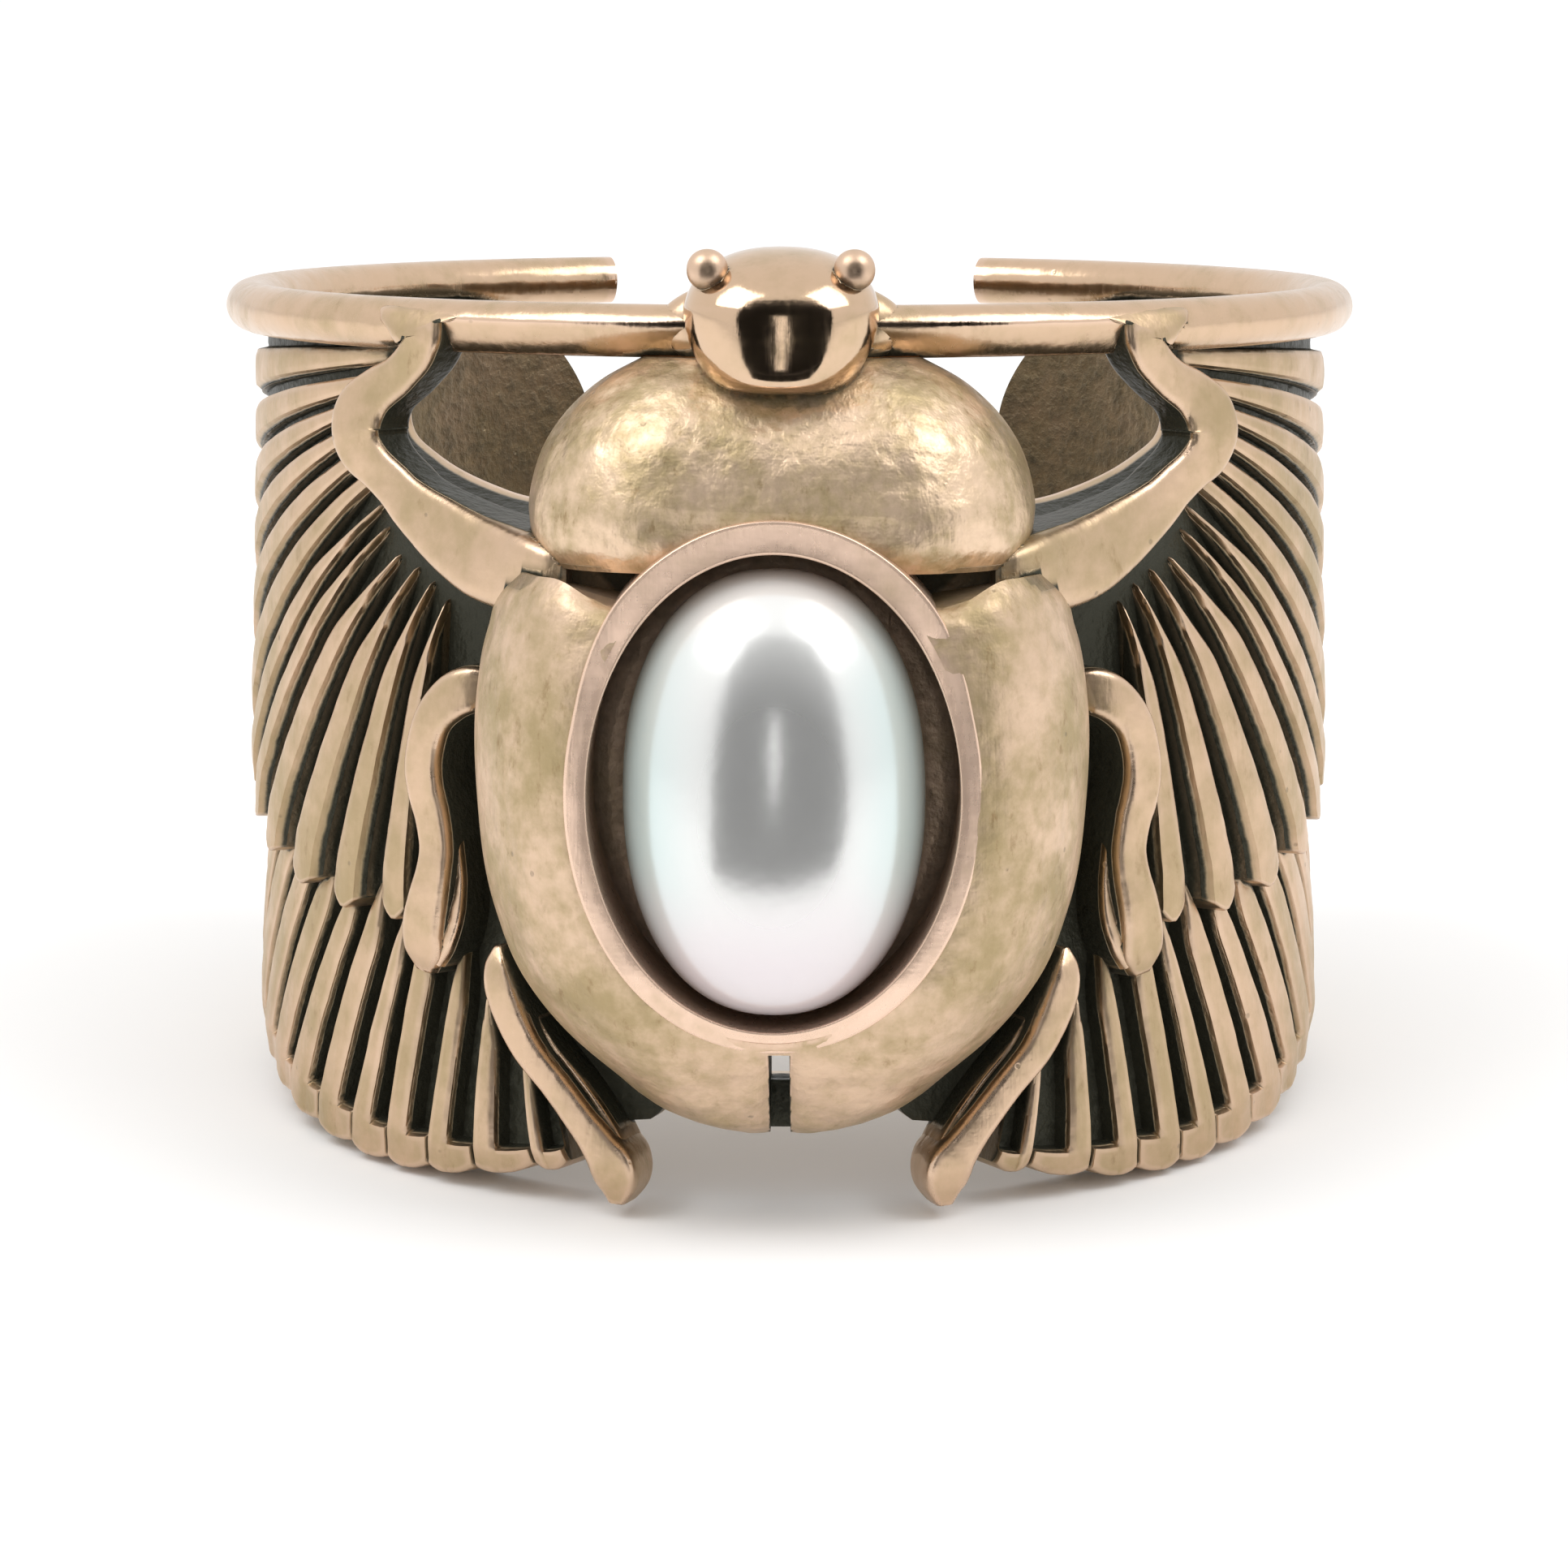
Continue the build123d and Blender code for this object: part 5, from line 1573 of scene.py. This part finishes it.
def make_nacre():
    """White nacre with a painted greenish blue sheen at the flanks, pinker towards the bottom."""
    material, graph, shader, coordinates = new_material("nacre")
    middle = RING_TO_ROOM @ PEARL_CENTRE
    centred = graph.node("ShaderNodeMapping", {"Vector": coordinates, "Scale": (1 / MM,) * 3,
                                               "Location": tuple(-middle / MM)}).outputs[0]
    x, _, z = graph.parts(centred)
    cloud = graph.minus(graph.noise(centred, 0.45, 3.0, 0.5), 0.5)
    flank = graph.total(graph.math("ABSOLUTE", x), graph.product(cloud, 0.8))
    # the flanks get a painted greenish blue sheen
    colour = mix_colour(graph, graph.step(flank, 1.0, 2.5, 0.0, 0.9), NACRE_WHITE, NACRE_SEA_SHEEN)
    below = graph.total(z, graph.product(cloud, 1.2))
    colour = mix_colour(graph, graph.step(below, -3.2, -0.6, 0.75, 0.0), colour, NACRE_ROSE)
    graph.feed(shader.inputs["Base Color"], colour)
    grain = graph.noise(centred, 6.0, 3.0, 0.5)
    graph.feed(shader.inputs["Roughness"], graph.math("MULTIPLY_ADD", grain, 0.06, 0.20))
    across = graph.ratio(x, PEARL_HALF[0])
    along_it = graph.ratio(z, PEARL_HALF[2])
    from_middle = graph.total(graph.product(across, across), graph.product(along_it, along_it))
    from_middle = graph.math("SQRT", from_middle)
    graph.feed(shader.inputs["Metallic"], graph.step(from_middle, 0.45, 1.0, 0.74, 0.34))
    shader.inputs["Coat Weight"].default_value = 0.3
    shader.inputs["Coat Roughness"].default_value = 0.12
    bump(graph, shader, graph.product(graph.noise(centred, 1.6, 2.0, 0.5), SKIN_MM))
    return material


pearl.data.materials.append(make_nacre())
print("nacre:", len(pearl.data.materials[0].node_tree.nodes), "nodes")

# %% [markdown]
# ## Tie every piece to its solid
# The pieces ride with the ring's one body and stand in for the two solids.

# %% Ride and replace
for piece in metal_pieces:
    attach(piece, BODY)
    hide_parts(METAL_NODE)
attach(pearl, BODY)
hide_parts(PEARL_NODE)
print(sum(len(p.data.loop_triangles) or len(p.data.polygons) * 2 for p in pieces), "triangles or so")

# %% [markdown]
# ## Floor, light and cards
# Polished metal only looks right when there is something for it to mirror. So the room is
# a white light tent with two soft boxes, and there is a dark card near the camera with a
# narrow gap in it. The card gives the head and the pearl their dark, clear reflection. It
# would leave the satin pieces too dark as well, so a small third box in front lights them
# alone.

# %% Floor
FLOOR_HALF = 3.0


def sheet(name, corners, colour, shine=0.0):
    """A flat sheet that isn't part of the ring, plain or glowing."""
    mesh = bpy.data.meshes.new(name)
    mesh.from_pydata(corners, [], [tuple(range(len(corners)))])
    item = bpy.data.objects.new(name, mesh)
    bpy.context.scene.collection.objects.link(item)
    material = bpy.data.materials.new(name)
    material.use_nodes = True
    shader = material.node_tree.nodes["Principled BSDF"]
    shader.inputs["Base Color"].default_value = (*colour, 1.0)
    shader.inputs["Roughness"].default_value = 0.8
    shader.inputs["Specular IOR Level"].default_value = 0.0
    shader.inputs["Emission Color"].default_value = (*colour, 1.0)
    shader.inputs["Emission Strength"].default_value = shine
    mesh.materials.append(material)
    return item


def corners(x_low, x_high, y_low, y_high, z):
    """The corners of a level rectangle."""
    return [(x_low, y_low, z), (x_high, y_low, z), (x_high, y_high, z), (x_low, y_high, z)]


def upright(x_low, x_high, y, z_low, z_high):
    """The corners of an upright rectangle that faces the ring."""
    return [(x_low, y, z_low), (x_high, y, z_low), (x_high, y, z_high), (x_low, y, z_high)]


sheet("floor", corners(-FLOOR_HALF, FLOOR_HALF, -FLOOR_HALF, FLOOR_HALF, 0), (0.90,) * 3)

# %% Cards that only reflections see
DARK = (0.012, 0.012, 0.011)
CARD_Y = -0.075
CARD_LEFT, CARD_RIGHT, CARD_TOP = -0.052, 0.070, 0.128
CARD_LOW = 0.0005
FLOOR_CARD_Z = 0.0004
FLOOR_CARD_NEAR, FLOOR_CARD_HALF = -0.030, 0.016
GAP_HALF, GAP_LOW, GAP_TOP = 0.003, 0.010, 0.034
GAP_SHINE = 0.38

floor_card = [(CARD_LEFT, CARD_Y, FLOOR_CARD_Z), (CARD_RIGHT, CARD_Y, FLOOR_CARD_Z),
              (FLOOR_CARD_HALF, FLOOR_CARD_NEAR, FLOOR_CARD_Z),
              (-FLOOR_CARD_HALF, FLOOR_CARD_NEAR, FLOOR_CARD_Z)]
cards = [sheet("dark_card", upright(CARD_LEFT, CARD_RIGHT, CARD_Y, CARD_LOW, CARD_TOP), DARK),
         sheet("dark_floor_card", floor_card, DARK),
         sheet("gap_in_card", upright(-GAP_HALF, GAP_HALF, CARD_Y + 0.001, GAP_LOW, GAP_TOP),
               (1.0, 1.0, 1.0), GAP_SHINE)]
for card in cards:
    for who in ("camera", "diffuse", "shadow", "transmission"):
        setattr(card, f"visible_{who}", False)
print(len(cards), "cards that neither the camera nor soft light sees")

# %% Light
world = bpy.data.worlds.new("light_tent")
bpy.context.scene.world = world
world.use_nodes = True
world.node_tree.nodes["Background"].inputs["Color"].default_value = (1.0, 1.0, 1.0, 1.0)
world.node_tree.nodes["Background"].inputs["Strength"].default_value = 1.0


LAMPS_LOOK_AT = (0, 0, 9)
SATIN_NAMES = ("thorax", "wing_cases", "pearl_well", "front_leg", "middle_leg", "hind_leg")


def soft_box(name, place_mm, size, radiance):
    """A square lamp that looks at the ring."""
    lamp = bpy.data.lights.new(name, "AREA")
    lamp.shape = "SQUARE"
    lamp.size = size
    lamp.energy = radiance * math.pi * size * size
    item = bpy.data.objects.new(name, lamp)
    item.location = Vector(place_mm) * MM
    away = Vector(place_mm) - Vector(LAMPS_LOOK_AT)
    item.rotation_euler = away.to_track_quat("Z", "Y").to_euler()
    bpy.context.scene.collection.objects.link(item)
    return item


# each box: name, place in millimetres, width in metres and radiance
SOFT_BOXES = (("box_left", (-110, -60, 190), 0.13, 2.8),
              ("box_right", (120, -50, 190), 0.13, 2.8),
              ("box_front", (0, -150, 70), 0.09, 2.0))
lamps = [soft_box(*row) for row in SOFT_BOXES]
satin_pieces = bpy.data.collections.new("satin_pieces")
for piece in pieces:
    if piece.name.startswith(SATIN_NAMES):
        satin_pieces.objects.link(piece)
lamps[-1].light_linking.receiver_collection = satin_pieces
bpy.context.scene.view_settings.view_transform = "Standard"

# %% Camera
CAMERA_ABOVE_DEG = LEAN_DEG + 6.9
CAMERA_ASIDE_DEG = 0.8
CAMERA_FROM = 130.0
LENS = 155.0
SENSOR = 36.0
NEAREST = 0.01
AIM_LEFT = 0.09         # the picture's middle is a little to the left of the finger axis
camera_data = bpy.data.cameras.new("camera")
camera_data.lens = LENS
camera_data.sensor_width = SENSOR
camera_data.sensor_fit = "HORIZONTAL"
camera_data.clip_start = NEAREST
camera = bpy.data.objects.new("camera", camera_data)
bpy.context.scene.collection.objects.link(camera)
target = RING_TO_ROOM @ Vector((-AIM_LEFT, 0, 0))
up, aside = math.radians(CAMERA_ABOVE_DEG), math.radians(CAMERA_ASIDE_DEG)
away = Vector((math.sin(aside) * math.cos(up), -math.cos(aside) * math.cos(up), math.sin(up)))
camera.location = target + away * CAMERA_FROM * MM
camera.rotation_euler = away.to_track_quat("Z", "Y").to_euler()
bpy.context.scene.camera = camera
print("the camera looks down by", CAMERA_ABOVE_DEG, "degrees from", CAMERA_FROM, "mm")
